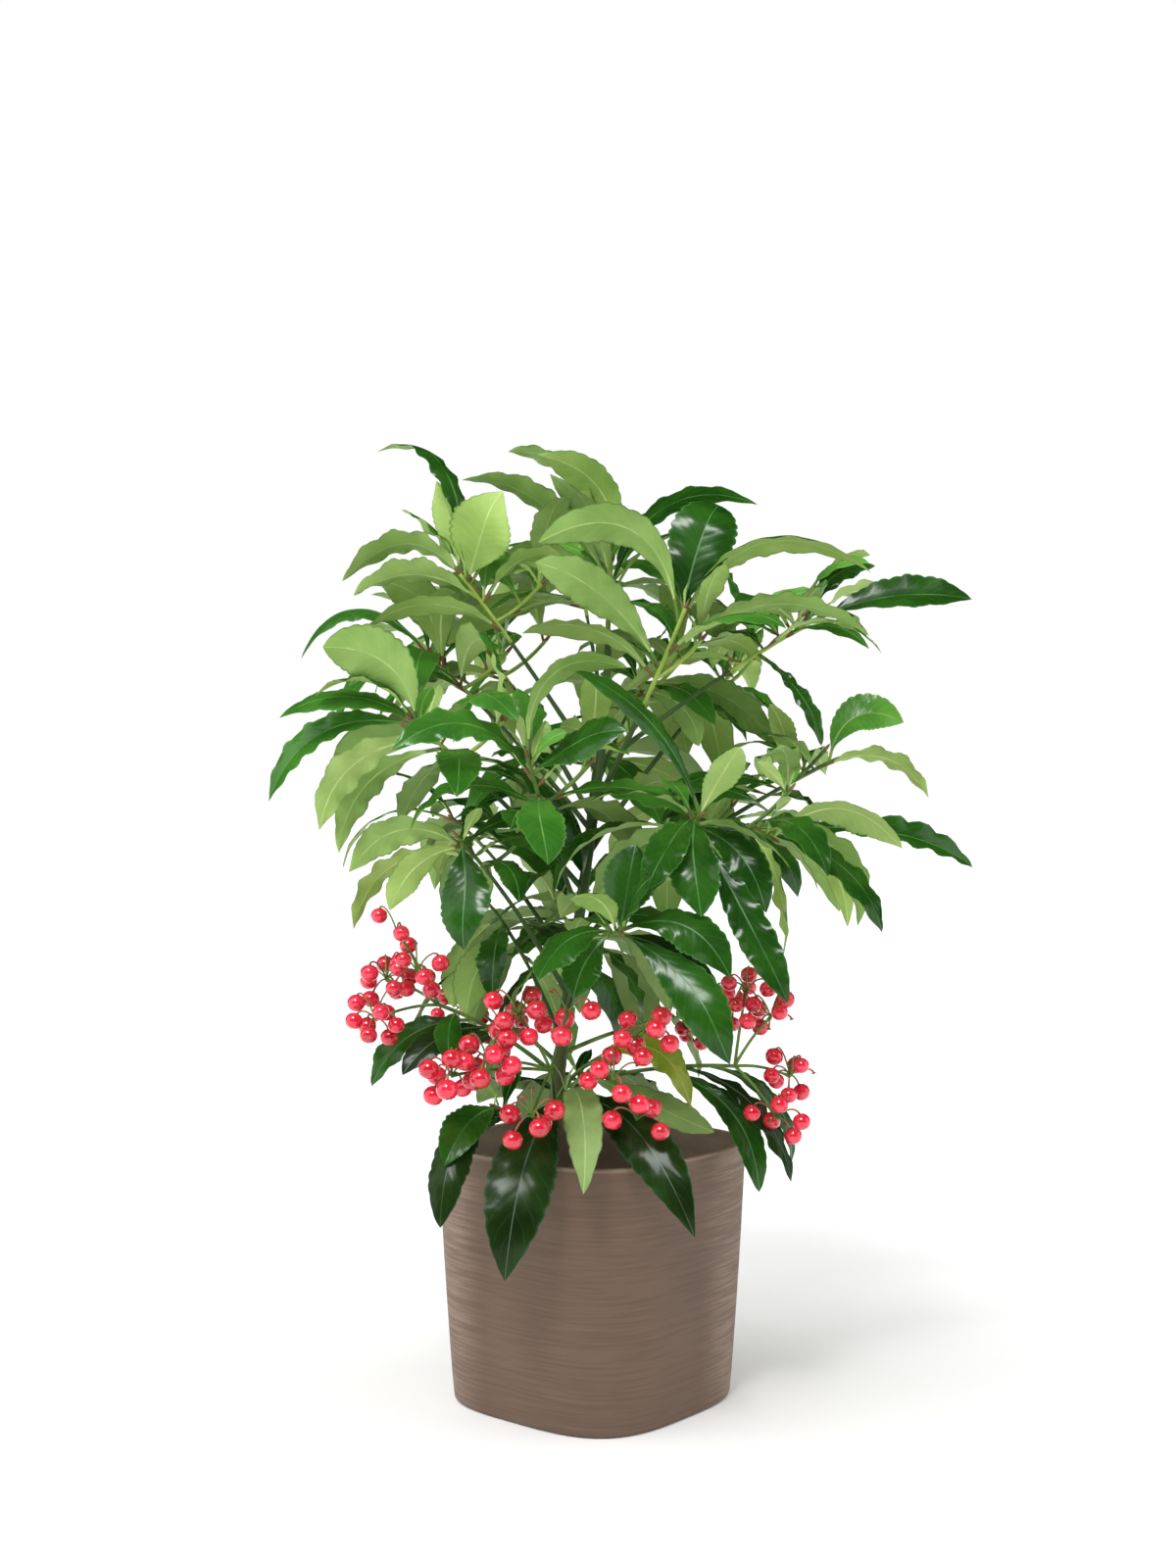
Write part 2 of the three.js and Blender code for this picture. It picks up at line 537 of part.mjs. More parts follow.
function addRuledLeaves({ name, leader, twigs, turn, draw }, mass) {
  twigs.forEach((twig, i) => {
    for (let place = 0; place < TWIG_LEAVES; place += 1) {
      addRuledLeaf(name, twig, mass, place, TWIG_LEAVES, turn + i, draw);
    }
  });
  const count = mass.leaves - twigs.length * TWIG_LEAVES;
  for (let place = 0; place < count; place += 1) {
    addRuledLeaf(name, leader, mass, place, count, turn + Math.PI, draw);
  }
}

// Fruit: a stalk from a limb to its hub, a ray to each umbel, and berries on stalklets round it
function berry(hub, bearing, rise, reach, guard) {
  const centre = reached(hub, bearing, rise, reach);
  const course = new THREE.LineCurve3(hub, centre);
  const stalklet = limb(course, STALKLET_START / reach, 1, () => STALKLET_RADIUS + guard, SHOOT_SIDES, 1);
  return ball(centre, BERRY_RADIUS + guard).add(stalklet);
}

function ball(centre, radius) {
  return solidFrom(new THREE.IcosahedronGeometry(radius, 0).translate(centre.x, centre.y, centre.z));
}

function addUmbel(name, [place, count], draw) {
  const hub = vector(place);
  const turn = draw() * 2 * Math.PI;
  for (let i = 0; i < count; i += 1) {
    const rise = Math.asin(mix(UMBEL_DOME, -UMBEL_DOME, (i + 0.5) / count));
    const reach = UMBEL_RADIUS * mix(...UMBEL_PLAY, draw());
    const isClear = (bearing) => (
      clear(berry(hub, bearing, rise, reach, GUARD), name)
        && !touches(ball(reached(hub, bearing, rise, reach), BERRY_RADIUS), solids.get(name))
    );
    const bearing = NUDGES.map(([turned]) => turn + i * GOLDEN_ANGLE + 2 * turned).find(isClear);
    if (bearing !== undefined) {
      keep(name, solids.get(name).add(berry(hub, bearing, rise, reach, 0)), "fruit");
    }
  }
}

function growStalks(name, [parent, share, hubPlace, umbels]) {
  const hub = vector(hubPlace);
  const stalk = bowed(limbs.get(parent).getPoint(share), hub, STALK_BOW);
  const stem = limb(stalk, 0, 1, () => STALK_RADIUS, SHOOT_SIDES, SHOOT_STEPS);
  const grown = umbels.reduce((joined, [place]) => {
    const ray = limb(bowed(hub, vector(place), RAY_BOW), 0, 1, () => RAY_RADIUS, SHOOT_SIDES, SHOOT_STEPS);
    return joined.add(ray).add(ball(vector(place), HUB_RADIUS));
  }, stem);
  keep(name, mainBody(grown.subtract(guards.get(parent))), "fruit");
  return stalk;
}

// Growth, from the planter up: limbs, shoots and fruit first, then the leading leaves, then the rest
keep("planter", planter(), "planter");
keep("soil", soil(), "soil");
growTrunk();
const leaders = new Map();
for (const [name, bough] of Object.entries(BOUGHS)) {
  leaders.set(name, growBough(name, bough, FOLIAGE[name].shoot));
}
const leaderStart = vector(TRUNK_TIP).addScaledVector(UP, GAP);
const leaderCurve = bowed(leaderStart, vector(LEADER_TIP), 0);
leaders.set("trunk_top", { curve: leaderCurve, from: 0, radius: TRUNK_RADIUS_TIP, steps: SHOOT_STEPS });
const shoots = Object.entries(FOLIAGE).map(([name, mass], i) => (
  [growShoot(`foliage_${name}`, leaders.get(name), mass.twigs, chance(1001 + i)), mass]
));
const skirts = Object.entries(SKIRTS).map(([name, [share, tip, leading]]) => {
  const curve = bowed(limbs.get("trunk").getPoint(share), vector(tip), SKIRT_BOW);
  const shoot = { curve, from: 0, radius: SHOOT_RADIUS_TIP, steps: SHOOT_STEPS };
  keep(`foliage_${name}`, mainBody(shootSolid(shoot).subtract(guards.get("trunk"))), "foliage");
  return { name: `foliage_${name}`, curve, leading };
});
const stalks = Object.entries(FRUIT).map(([name, cluster]) => [name, growStalks(name, cluster), cluster]);
for (const [{ name, leader }, mass] of shoots) {
  mass.leading.forEach(([share, ...rest]) => addLeadingLeaf(name, shootPoint(leader, share), ...rest));
}
for (const { name, curve, leading } of skirts) {
  leading.forEach(([share, ...rest]) => addLeadingLeaf(name, curve.getPoint(share), ...rest));
}
for (const [name, stalk, [, , , , leafTips]] of stalks) {
  leafTips.forEach((tip, i) => {
    const base = stalk.getPoint(STALK_LEAVES.first + STALK_LEAVES.step * i);
    addLeadingLeaf(name, base, tip, STALK_LEAVES.arch, STALK_LEAVES.facing);
  });
}
stalks.forEach(([name, , [, , , umbels]], i) => {
  const draw = chance(5001 + i);
  umbels.forEach((umbel) => addUmbel(name, umbel, draw));
});
shoots.forEach(([shoot, mass]) => addRuledLeaves(shoot, mass));

const plant = new THREE.Group();
for (const [name, solid] of solids) {
  const [color, roughness, metalness] = FINISH[finishes.get(name)];
  const material = new THREE.MeshStandardMaterial({ color, roughness, metalness });
  const mesh = new THREE.Mesh(geometryFrom(mainBody(solid)), material);
  mesh.name = name;
  plant.add(mesh);
}

export default plant;
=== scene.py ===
# %% [markdown]
# # A potted coral berry
# The plant is a young coral-berry shrub: a thin leaning trunk, twenty slender boughs, whorls of
# scalloped leaves, and clusters of coral-red berries that hang from arched stalklets. It stands in a
# tapered brown planter with rounded corners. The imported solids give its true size, so everything
# here grows over them: the same limbs, the same rule for the leaves, and then finer detail.

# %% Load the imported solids
import math
from collections import Counter, namedtuple
from functools import partial

import bmesh
import bpy
import numpy as np
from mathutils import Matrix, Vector, noise
from mathutils.bvhtree import BVHTree


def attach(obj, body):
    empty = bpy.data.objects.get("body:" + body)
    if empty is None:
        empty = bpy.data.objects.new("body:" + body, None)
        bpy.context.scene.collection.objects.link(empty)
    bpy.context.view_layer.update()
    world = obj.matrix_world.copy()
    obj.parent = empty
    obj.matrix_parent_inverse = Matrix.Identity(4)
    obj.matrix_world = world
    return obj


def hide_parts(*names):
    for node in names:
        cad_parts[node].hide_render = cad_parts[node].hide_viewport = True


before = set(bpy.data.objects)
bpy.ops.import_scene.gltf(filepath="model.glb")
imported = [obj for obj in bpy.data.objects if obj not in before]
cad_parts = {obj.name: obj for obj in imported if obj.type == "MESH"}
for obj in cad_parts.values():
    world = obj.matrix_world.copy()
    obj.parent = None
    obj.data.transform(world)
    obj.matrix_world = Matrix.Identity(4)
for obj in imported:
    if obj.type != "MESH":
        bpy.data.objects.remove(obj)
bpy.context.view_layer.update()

# %% [markdown]
# ## Units, vectors and chance
# The plant is worked out in millimetres, as a gardener would measure it, and turned into metres only
# when a mesh is made. Growth needs chance that never changes: a short stream of numbers from a seed
# gives the same plant at every run, and the same one as the solids.

# %% Units, vectors and chance
MM = 0.001
UP = np.array([0.0, 0.0, 1.0])
TO_VIEWER = np.array([0.0, -1.0, 0.0])
GOLDEN_ANGLE = math.radians(137.508)
FULL_TURN = 2 * math.pi
ANY_PHASE = 6.3
MULTIPLIER, MODULUS = 16807, 2147483647


def chance(seed):
    """A stream of numbers between 0 and 1, always the same for one seed."""
    state = seed

    def draw():
        nonlocal state
        state = state * MULTIPLIER % MODULUS
        return state / MODULUS

    return draw


def mix(low, high, share):
    return low + (high - low) * share


def unit(v):
    return v / np.linalg.norm(v, axis=-1, keepdims=True)


print("first draws:", [round(chance(7)(), 6), round(chance(8)(), 6)])

# %% [markdown]
# ## Courses
# Stems, stalks and midribs all bend smoothly, so each follows a Bezier curve. One small class gives
# the point and the heading at any share of the way, for one share or for a whole array of them.

# %% Courses through the air
LENGTH_STATIONS = 201


class Course:
    """A Bezier curve through the air, from its first point to its last."""

    def __init__(self, *points):
        self.points = np.array(points, float)

    def at(self, share):
        share = np.asarray(share, float)
        degree = len(self.points) - 1
        steps = range(degree + 1)
        weights = [math.comb(degree, i) * (1 - share) ** (degree - i) * share**i for i in steps]
        return np.stack(weights, axis=-1) @ self.points

    def heading(self, share):
        return unit(Course(*np.diff(self.points, axis=0)).at(share))

    def length(self):
        stations = self.at(np.linspace(0, 1, LENGTH_STATIONS))
        return float(np.linalg.norm(np.diff(stations, axis=0), axis=1).sum())


def bowed(start, tip, bow):
    """A course whose middle stands a bow above the straight line."""
    start, tip = np.array(start, float), np.array(tip, float)
    return Course(start, (start + tip) / 2 + UP * 2 * bow, tip)


def reached(base, bearing, rise, length):
    """Where a straight reach from a base ends, by its compass bearing, its rise and its length."""
    level, height = math.cos(rise) * length, math.sin(rise) * length
    return base + np.array([math.cos(bearing) * level, math.sin(bearing) * level, height])


print("a 100 mm bow that rises 10 mm is", round(bowed((0, 0, 0), (100, 0, 0), 10).length(), 1), "mm long")

# %% [markdown]
# ## The plant's own measures
# A real shrub has one stem, boughs that leave it at odd heights, and leaves in loose whorls. All of it
# could be drawn by eye, but the solids already say where each limb goes and which leaves make the
# crown's outline. So these tables repeat the solids' own measures, in millimetres, and the leaves
# modelled here lie where the plain ones are.

# %% Trunk and boughs in the tables
SOIL_TOP = 98.0
# Stems that meet end to end keep this gap, and leaves and berries keep this guard of room round them
GAP = 0.3
GUARD = 0.4
TRUNK = Course((-21, 0, SOIL_TOP + GAP), (-21, 0, 190), (8, 4, 300), (8, 8, 390))
TRUNK_RADII = (4.0, 1.7)
LEADER_TIP = (10, 10, 431)
ROOT_FLARE = 4.5
ROOT_FLARE_HEIGHT = 14.0
BOUGH_TAPER = 0.62
SHOOT_RADIUS_TIP = 1.3

# Each bough: the limb it leaves, how far up that limb, its tip, its bow, and its radius at the foot
BOUGHS = {
    "top_left": ("trunk", 0.74, (-67, -10, 417), 3, 1.9),
    "upper_right": ("trunk", 0.68, (46, -30, 398), -3, 2.3),
    "far_upper_right": ("upper_right", 0.34, (119, 20, 398), 3, 1.8),
    "middle_right": ("trunk", 0.47, (124, 10, 323), 6, 2.2),
    "lower_right": ("middle_right", 0.5, (88, -50, 284), 4, 1.7),
    "centre_right": ("middle_right", 0.3, (52, -66, 296), 4, 1.7),
    "centre_left": ("trunk", 0.5, (-31, -70, 324), -4, 1.8),
    "left": ("trunk", 0.54, (-89, -30, 342), 4, 2.0),
    "upper_left": ("trunk", 0.64, (-87, 30, 378), 5, 1.8),
    "lower_left": ("trunk", 0.36, (-66, -40, 285), 5, 1.9),
    "front_centre": ("trunk", 0.33, (13, -95, 242), 12, 2.0),
    "inner_left": ("trunk", 0.28, (-52, 22, 246), 6, 1.7),
    "inner_right": ("trunk", 0.72, (32, 62, 372), 4, 1.6),
    "back_left": ("trunk", 0.66, (-62, 98, 388), 5, 1.9),
    "back_top": ("trunk", 0.84, (-8, 66, 430), 2, 1.6),
    "back_right": ("trunk", 0.6, (84, 98, 378), 6, 2.0),
    "back_low_left": ("trunk", 0.4, (-78, 92, 292), 8, 1.8),
    "back_low_right": ("trunk", 0.43, (72, 100, 288), 8, 1.8),
    "back_middle": ("trunk", 0.52, (4, 122, 338), 8, 1.9),
    "back_low": ("trunk", 0.3, (-4, 92, 226), 12, 1.7),
}
print(len(BOUGHS), "boughs")

# %% Masses of leaves in the tables
# Each mass: shoot length, leaves by rule, side twigs, leaf length, rise of its low and top leaves, and
# its leading leaves as (share up the shoot, tip, arch, how far the face turns to the viewer)
Mass = namedtuple("Mass", "shoot_length leaves twigs leaf_length rises leading")
FOLIAGE = {
    "trunk_top": (40, 6, 0, 74, (5, 55), [
        (0.8, (-28, 4, 481), 0.26, -0.7), (0.6, (-65, -6, 466), 0.16, 0.3),
        (0.95, (-43, 36, 488), 0.15, 0.6), (0.4, (83, 4, 454), 0.24, 0.6)]),
    "top_left": (46, 6, 1, 78, (-5, 50), [
        (0.95, (-80, 4, 466), 0.06, -2), (0.85, (-51, -26, 456), 0.06, -2),
        (0.72, (-127, -6, 414), 0.3, -0.7), (0.6, (-118, -32, 404), 0.22, -0.8),
        (1, (-110, 22, 489), -0.12, 0.1), (0.66, (-98, 20, 451), 0.1, 0.5)]),
    "upper_right": (52, 6, 1, 80, (0, 50), [
        (0.92, (59, -14, 451), 0.05, 2), (0.84, (-28, -52, 428), 0.32, -0.8),
        (0.4, (-31, -64, 419), 0.14, -0.8), (0.74, (139, -30, 418), 0.2, -0.4),
        (0.5, (136, -48, 385), 0.22, -0.4)]),
    "far_upper_right": (60, 8, 1, 70, (-10, 40), [
        (0.92, (197, 18, 407), 0.12, 0.9), (0.82, (150, 34, 428), 0.14, 0.4),
        (0.6, (140, -10, 380), 0.18, 0.5), (0.3, (117, -16, 343), 0.2, 0.6),
        (0.7, (150, 72, 392), 0.2, 0.3)]),
    "middle_right": (48, 8, 1, 66, (-20, 40), [
        (0.95, (157, 8, 347), 0.42, 0.8), (0.82, (174, 6, 305), 0.22, -0.6),
        (0.6, (128, 74, 316), 0.2, 0.3), (0.4, (90, -8, 352), 0.12, -0.6)]),
    "lower_right": (40, 7, 1, 78, (-35, 30), [
        (0.92, (151, -56, 283), 0.28, -0.6), (0.76, (189, -16, 272), 0.24, 0.7),
        (0.6, (139, -78, 244), 0.16, 0.8), (0.45, (94, -66, 227), 0.1, -0.6),
        (0.3, (127, -24, 240), 0.2, 0.4)]),
    "centre_right": (34, 5, 0, 72, (-30, 45), [
        (0.9, (-8, -92, 363), 0.14, 0.9), (0.7, (50, -98, 250), 0.16, 0.9),
        (0.5, (91, -84, 209), 0.2, 0.9), (0.8, (62, -84, 356), 0.05, -0.8),
        (0.3, (82, -70, 250), 0.18, 0.8), (0.6, (24, -106, 262), 0.16, 0.9)]),
    "centre_left": (40, 6, 1, 76, (-20, 45), [
        (0.95, (16, -60, 373), 0.3, 0.6), (0.6, (-93, -92, 327), 0.24, 0.9),
        (0.75, (12, -94, 339), 0.05, 1), (0.4, (-20, -106, 275), 0.12, 1)]),
    "left": (46, 6, 1, 84, (-30, 35), [
        (0.92, (-131, -44, 377), 0.2, -1), (0.78, (-158, -14, 345), 0.2, 0.5),
        (0.85, (-169, 6, 303), 0.3, 0.4), (0.65, (-137, -50, 291), 0.18, -0.9),
        (0.5, (-128, -22, 277), 0.22, 0.6), (0.4, (-63, -86, 306), 0.14, 1)]),
    "upper_left": (42, 8, 1, 76, (-10, 45), [
        (0.9, (-157, 18, 381), 0.24, 0.6), (0.75, (-133, 48, 395), 0.2, 0.4),
        (0.55, (-96, 100, 370), 0.22, 0)]),
    "lower_left": (36, 6, 1, 70, (-40, 25), [
        (0.92, (-64, -68, 233), 0.06, 1), (0.8, (-98, -54, 250), 0.18, -0.8),
        (0.66, (-127, -18, 277), 0.2, 0.6), (0.5, (-121, 4, 241), 0.2, -0.6),
        (0.38, (-34, -68, 256), 0.16, 1)]),
    "front_centre": (34, 5, 0, 70, (-40, 45), [
        (0.85, (60, -122, 186), 0.12, 0.9), (0.7, (63, -104, 222), 0.16, 0.8),
        (0.96, (20, -100, 289), 0.05, 1), (0.9, (26, -126, 269), 0.05, 1),
        (0.55, (-25, -114, 222), 0.16, 0.9), (0.4, (-9, -88, 211), 0.1, 0.9)]),
    "inner_left": (40, 6, 1, 76, (-45, 20), [
        (0.5, (-82, -6, 205), 0.2, 1.2), (0.8, (-112, 34, 222), 0.2, 0.8),
        (0.65, (-50, -22, 202), 0.2, 1.2)]),
    "inner_right": (42, 8, 1, 72, (-15, 45), [
        (0.5, (58, 12, 330), 0.12, -0.6), (0.7, (88, 34, 342), 0.16, -0.6)]),
    "back_left": (46, 8, 1, 82, (-20, 45), [
        (0.8, (-118, 138, 378), 0.22, 0), (0.65, (-56, 164, 384), 0.22, 0)]),
    "back_top": (40, 8, 1, 76, (-10, 55), [
        (0.8, (-14, 138, 432), 0.26, 0), (0.65, (52, 108, 440), 0.22, 0)]),
    "back_right": (50, 8, 1, 80, (-20, 45), [
        (0.8, (150, 118, 372), 0.22, 0), (0.65, (96, 168, 366), 0.22, 0)]),
    "back_low_left": (44, 8, 1, 80, (-40, 25), [
        (0.8, (-146, 112, 266), 0.22, 0), (0.6, (-92, 156, 250), 0.22, 0)]),
    "back_low_right": (44, 8, 1, 80, (-40, 25), [
        (0.8, (142, 116, 262), 0.22, 0), (0.6, (84, 162, 246), 0.22, 0)]),
    "back_middle": (48, 8, 1, 84, (-35, 35), [
        (0.8, (10, 192, 316), 0.24, 0), (0.6, (-48, 170, 296), 0.22, 0)]),
    "back_low": (36, 7, 0, 78, (-45, 10), [
        (0.7, (-8, 146, 178), 0.22, 0), (0.5, (44, 120, 190), 0.2, 0)]),
}
FOLIAGE = {name: Mass(*row) for name, row in FOLIAGE.items()}
print(len(FOLIAGE), "masses of leaves on the boughs and the trunk's top")

# %% Low shoots in the tables
# Low shoots straight from the trunk: how far up it, the shoot's tip, and its leading leaves
SKIRTS = {
    "skirt_front": (0.13, (-13, -30, 158), [
        (0.95, (-40, -106, 84), 0.2, 1), (0.8, (46, -104, 104), 0.22, 0.9),
        (0.5, (6, -84, 150), 0.2, -0.6), (0.7, (-2, -98, 122), 0.3, -0.6)]),
    "skirt_left": (0.1, (-48, -34, 152), [
        (0.9, (-70, -76, 132), 0.16, 0.9), (0.7, (-75, -94, 109), 0.24, 0.9),
        (0.5, (-93, -30, 160), 0.2, 0.6)]),
    "skirt_back": (0.12, (-6, 34, 156), [
        (0.9, (-34, 98, 112), 0.22, 0), (0.7, (36, 96, 118), 0.22, 0), (0.5, (-62, 62, 138), 0.2, 0)]),
}
print(len(SKIRTS), "low shoots with leaves")

# %% Fruit in the tables
# Fruit: the limb that bears the stalk and how far up it, the stalk's hub, its umbels with their
# berries, plain ones in the solids and all of them here, and the tips of the leaves on the stalk
Fruit = namedtuple("Fruit", "parent share hub umbels leaf_tips")
FRUIT = {
    "left": ("trunk", 0.22, (-76, -32, 202), [
        ((-107, -36, 195), 5, 9), ((-103, -20, 213), 4, 8), ((-86, -40, 219), 4, 8),
        ((-97, -30, 238), 2, 3)],
        [(-92, -52, 172), (-111, -20, 160), (-69, -50, 176)]),
    "centre": ("trunk", 0.16, (-20, -62, 174), [
        ((-49, -84, 181), 5, 10), ((-35, -72, 201), 4, 8), ((-28, -92, 157), 4, 7),
        ((-66, -86, 175), 3, 8), ((-12, -84, 203), 2, 4)], []),
    "centre_right": ("trunk", 0.18, (2, -60, 178), [
        ((25, -84, 194), 5, 8), ((10, -88, 174), 3, 6), ((21, -82, 154), 3, 5)],
        [(40, -62, 146), (46, -50, 176)]),
    "right": ("trunk", 0.2, (70, -34, 172), [
        ((87, -42, 197), 4, 8), ((76, -28, 208), 3, 6), ((98, -28, 166), 4, 8), ((90, -46, 148), 4, 7)],
        [(82, -44, 112), (98, -34, 116), (106, -16, 122)]),
    "back_left": ("trunk", 0.24, (-54, 62, 182), [
        ((-72, 80, 186), 4, 8), ((-50, 86, 176), 4, 8)], [(-84, 84, 146), (-58, 104, 140)]),
    "back_right": ("trunk", 0.26, (58, 58, 186), [
        ((78, 72, 190), 4, 8), ((60, 84, 178), 4, 8)], [(92, 76, 150), (62, 104, 146)]),
}
FRUIT = {name: Fruit(*row) for name, row in FRUIT.items()}
print(len(FRUIT), "fruit stalks")

# %% [markdown]
# ## Keeping clear
# No real leaf grows through a bough. The rule therefore tries each leaf as a rough form with a little
# room round it, turns it up to nine ways, and skips it if every way touches something. A bounding
# tree of each rough form makes that test quick.

# %% Rough forms
NEARLY_UPRIGHT = 0.98


def sides_of(course, share):
    """Two directions square to a course and to each other, which don't twist along it."""
    chord = unit(course.at(1.0) - course.at(0.0))
    flat = np.cross(chord, TO_VIEWER if abs(chord[2]) > NEARLY_UPRIGHT else UP)
    along = course.heading(share)
    side = unit(np.cross(along, flat))
    return np.cross(side, along), side


def loft(rings, root, tip):
    """A closed form: a fan from its root point, a band between each pair of rings, a fan to its tip."""
    sides = len(rings[0])
    points = np.vstack([[root], *rings, [tip]])
    last = len(points) - 1
    around = [(i, (i + 1) % sides) for i in range(sides)]
    faces = [(0, 1 + b, 1 + a) for a, b in around]
    for row in range(1, 1 + (len(rings) - 1) * sides, sides):
        faces += [(row + a, row + b, row + b + sides, row + a + sides) for a, b in around]
    faces += [(last, last - sides + a, last - sides + b) for a, b in around]
    return points, faces


def rough_tube(course, start, end, radius_at, sides, steps):
    """A closed tube along a part of a course, as thick as radius_at says at each share of it."""
    angles = FULL_TURN * np.arange(sides) / sides
    rings = []
    for share in np.linspace(start, end, steps + 1):
        front, side = sides_of(course, share)
        circle = np.outer(np.cos(angles), front) + np.outer(np.sin(angles), side)
        rings.append(course.at(share) + circle * radius_at(share))
    return loft(rings, course.at(start), course.at(end))


trial_tube = rough_tube(TRUNK, start=0, end=1, radius_at=lambda t: TRUNK_RADII[0], sides=8, steps=10)
print("a rough trunk has", len(trial_tube[1]), "faces")

# %% The test for touching


class Rough:
    """A rough form with its box and its tree of faces, so two of them are soon tried for touching."""

    def __init__(self, points, faces):
        self.low, self.high = points.min(axis=0), points.max(axis=0)
        self.tree = BVHTree.FromPolygons(points.tolist(), faces)

    def touches(self, other):
        near = (self.low < other.high).all() and (other.low < self.high).all()
        return bool(near and self.tree.overlap(other.tree))


SOLIDS = {}


def keep(name, form):
    SOLIDS.setdefault(name, []).append(Rough(*form))


def is_clear(form, names):
    """Whether a form touches nothing that is kept under some names."""
    rough = Rough(*form)
    return not any(rough.touches(other) for name in names for other in SOLIDS[name])


def all_but(own):
    return [name for name in SOLIDS if name != own]


print("a tube touches itself:", Rough(*trial_tube).touches(Rough(*trial_tube)))

# %% [markdown]
# ## Where the photograph shows sky
# The camera is level, about a metre away, at the height of the crown's middle. Its focal length
# follows from how the planter's rim and foot look. From it comes where a point of the plant is seen in
# the photograph, so leaves of the rule can be kept out of the gaps where sky shows between boughs.

# %% The photograph's view and its gaps
PHOTO_WIDTH, PHOTO_HEIGHT = 1200, 1600
FOCAL_PIXELS = 1986
CAMERA_PLACE = np.array([-2.25, -993.0, 311.0])
# Each gap is an ellipse: how far across and down its middle is, and its half width and half height
GAPS = [
    (557, 488, 24, 14), (640, 498, 14, 22), (680, 524, 14, 9), (530, 526, 22, 20), (838, 562, 12, 16),
    (790, 594, 40, 16), (445, 616, 22, 9), (885, 622, 20, 10), (542, 636, 18, 10), (412, 660, 18, 10),
    (547, 676, 34, 30), (832, 696, 50, 56), (746, 716, 18, 9), (742, 717, 14, 8), (585, 719, 20, 13),
    (857, 762, 24, 8), (836, 766, 16, 10), (793, 779, 12, 8), (875, 790, 40, 10), (404, 802, 22, 12),
    (828, 806, 14, 8), (711, 812, 12, 20), (890, 813, 54, 24), (455, 838, 22, 11), (660, 845, 18, 8),
    (886, 894, 16, 24), (512, 902, 20, 24), (374, 902, 22, 30), (815, 905, 26, 26), (428, 928, 30, 44),
    (489, 946, 16, 18), (458, 966, 16, 16), (530, 982, 10, 12), (770, 989, 16, 20), (443, 1114, 12, 10),
]
SHARE_IN_GAP = 0.15


def seen_at(points):
    """Where points in millimetres are seen in the photograph, across and down in its pixels."""
    offset = np.asarray(points) - CAMERA_PLACE
    across = PHOTO_WIDTH / 2 + FOCAL_PIXELS * offset[..., 0] / offset[..., 1]
    return across, PHOTO_HEIGHT / 2 - FOCAL_PIXELS * offset[..., 2] / offset[..., 1]


def hides_sky(points):
    """Whether more than a small share of some points is seen in a gap."""
    across, down = seen_at(points)
    inside = [((across - x) / wide) ** 2 + ((down - y) / high) ** 2 < 1 for x, y, wide, high in GAPS]
    return np.any(inside, axis=0).mean() > SHARE_IN_GAP


print("the trunk's foot is seen at", [round(float(v)) for v in seen_at(TRUNK.at(0.0))])

# %% [markdown]
# ## The leaf rule
# A leaf is known by a few numbers: its base, its tip, how far its midrib arches, and the way its face
# looks. A rough leaf is three lines lofted along that midrib. It could be a box, but a box would turn
# away neighbours that a slim leaf lets by. The same numbers later bend the finished blade, so rough
# and finished leaf agree.

# %% A rough leaf
Leaf = namedtuple("Leaf", "base tip arch faces")
LEAF_WIDTH_SHARE = 0.34
LEAF_WIDEST = 31.0
LEAF_THICKNESS = 1.15
ROOT_SUNK = 0.4
ROOT_SLIMNESS = 0.45
PETIOLE_HALF_WIDTH = 0.9
# How far along the leaf each ring stands, and its share of the half width there
LEAF_OUTLINE = [(0, 0), (0.12, 0), (0.42, 0.94), (0.76, 0.8)]


def midrib(base, tip, arch):
    """A leaf's course from base to tip, and the straight length between them."""
    chord = tip - base
    length = np.linalg.norm(chord)
    lift = unit(UP - chord * chord[2] / length**2)
    return Course(base, (base + tip) / 2 + lift * 2 * arch * length, tip), length


def rough_leaf(leaf, guard, outline):
    """A closed form of three-sided rings, with a guard of clear room round it."""
    course, length = midrib(leaf.base, leaf.tip, leaf.arch)
    chord = unit(leaf.tip - leaf.base)
    upper = unit(leaf.faces - chord * (leaf.faces @ chord))
    half_width = min(length * LEAF_WIDTH_SHARE, LEAF_WIDEST) / 2
    rings = []
    for share, width in outline:
        along = course.heading(share)
        top = unit(upper - along * (upper @ along))
        side = np.cross(along, top)
        slim = ROOT_SLIMNESS if share == 0 else 1
        half = max(width * half_width, PETIOLE_HALF_WIDTH) * slim + guard
        height = top * (LEAF_THICKNESS * slim / 2 + guard)
        centre = course.at(share)
        corners = [centre + side * half + height, centre - height, centre - side * half + height]
        rings.append(np.array(corners))
    first = outline[0][0]
    return loft(rings, course.at(first) - course.heading(first) * ROOT_SUNK, leaf.tip)


trial_leaf = Leaf(np.zeros(3), np.array([80.0, 0.0, 0.0]), 0.2, UP)
print("a rough leaf has", len(rough_leaf(trial_leaf, GUARD, LEAF_OUTLINE)[1]), "faces")

# %% How a leaf is placed
# Small turns of a leaf about its base, sideways and up, tried until it stands clear. A leading leaf
# keeps its bearing, and its tip shifts by as much of LEADING_SHIFT instead.
NUDGES = [
    (0, 0), (0.2, 0), (-0.2, 0), (0, 0.2), (0, -0.2),
    (0.4, 0.1), (-0.4, 0.1), (0.5, -0.25), (-0.5, -0.25),
]
LEADING_SHIFT = 22.0
FOREMOST = -25.0
LEAVES = {}


def is_wanted(kind, leaf, blade_points):
    """Inner leaves stay behind those that the photograph shows, and only leading ones may hide sky."""
    if kind == "inner" and leaf.tip[1] < FOREMOST:
        return False
    return kind == "leading" or not hides_sky(blade_points)


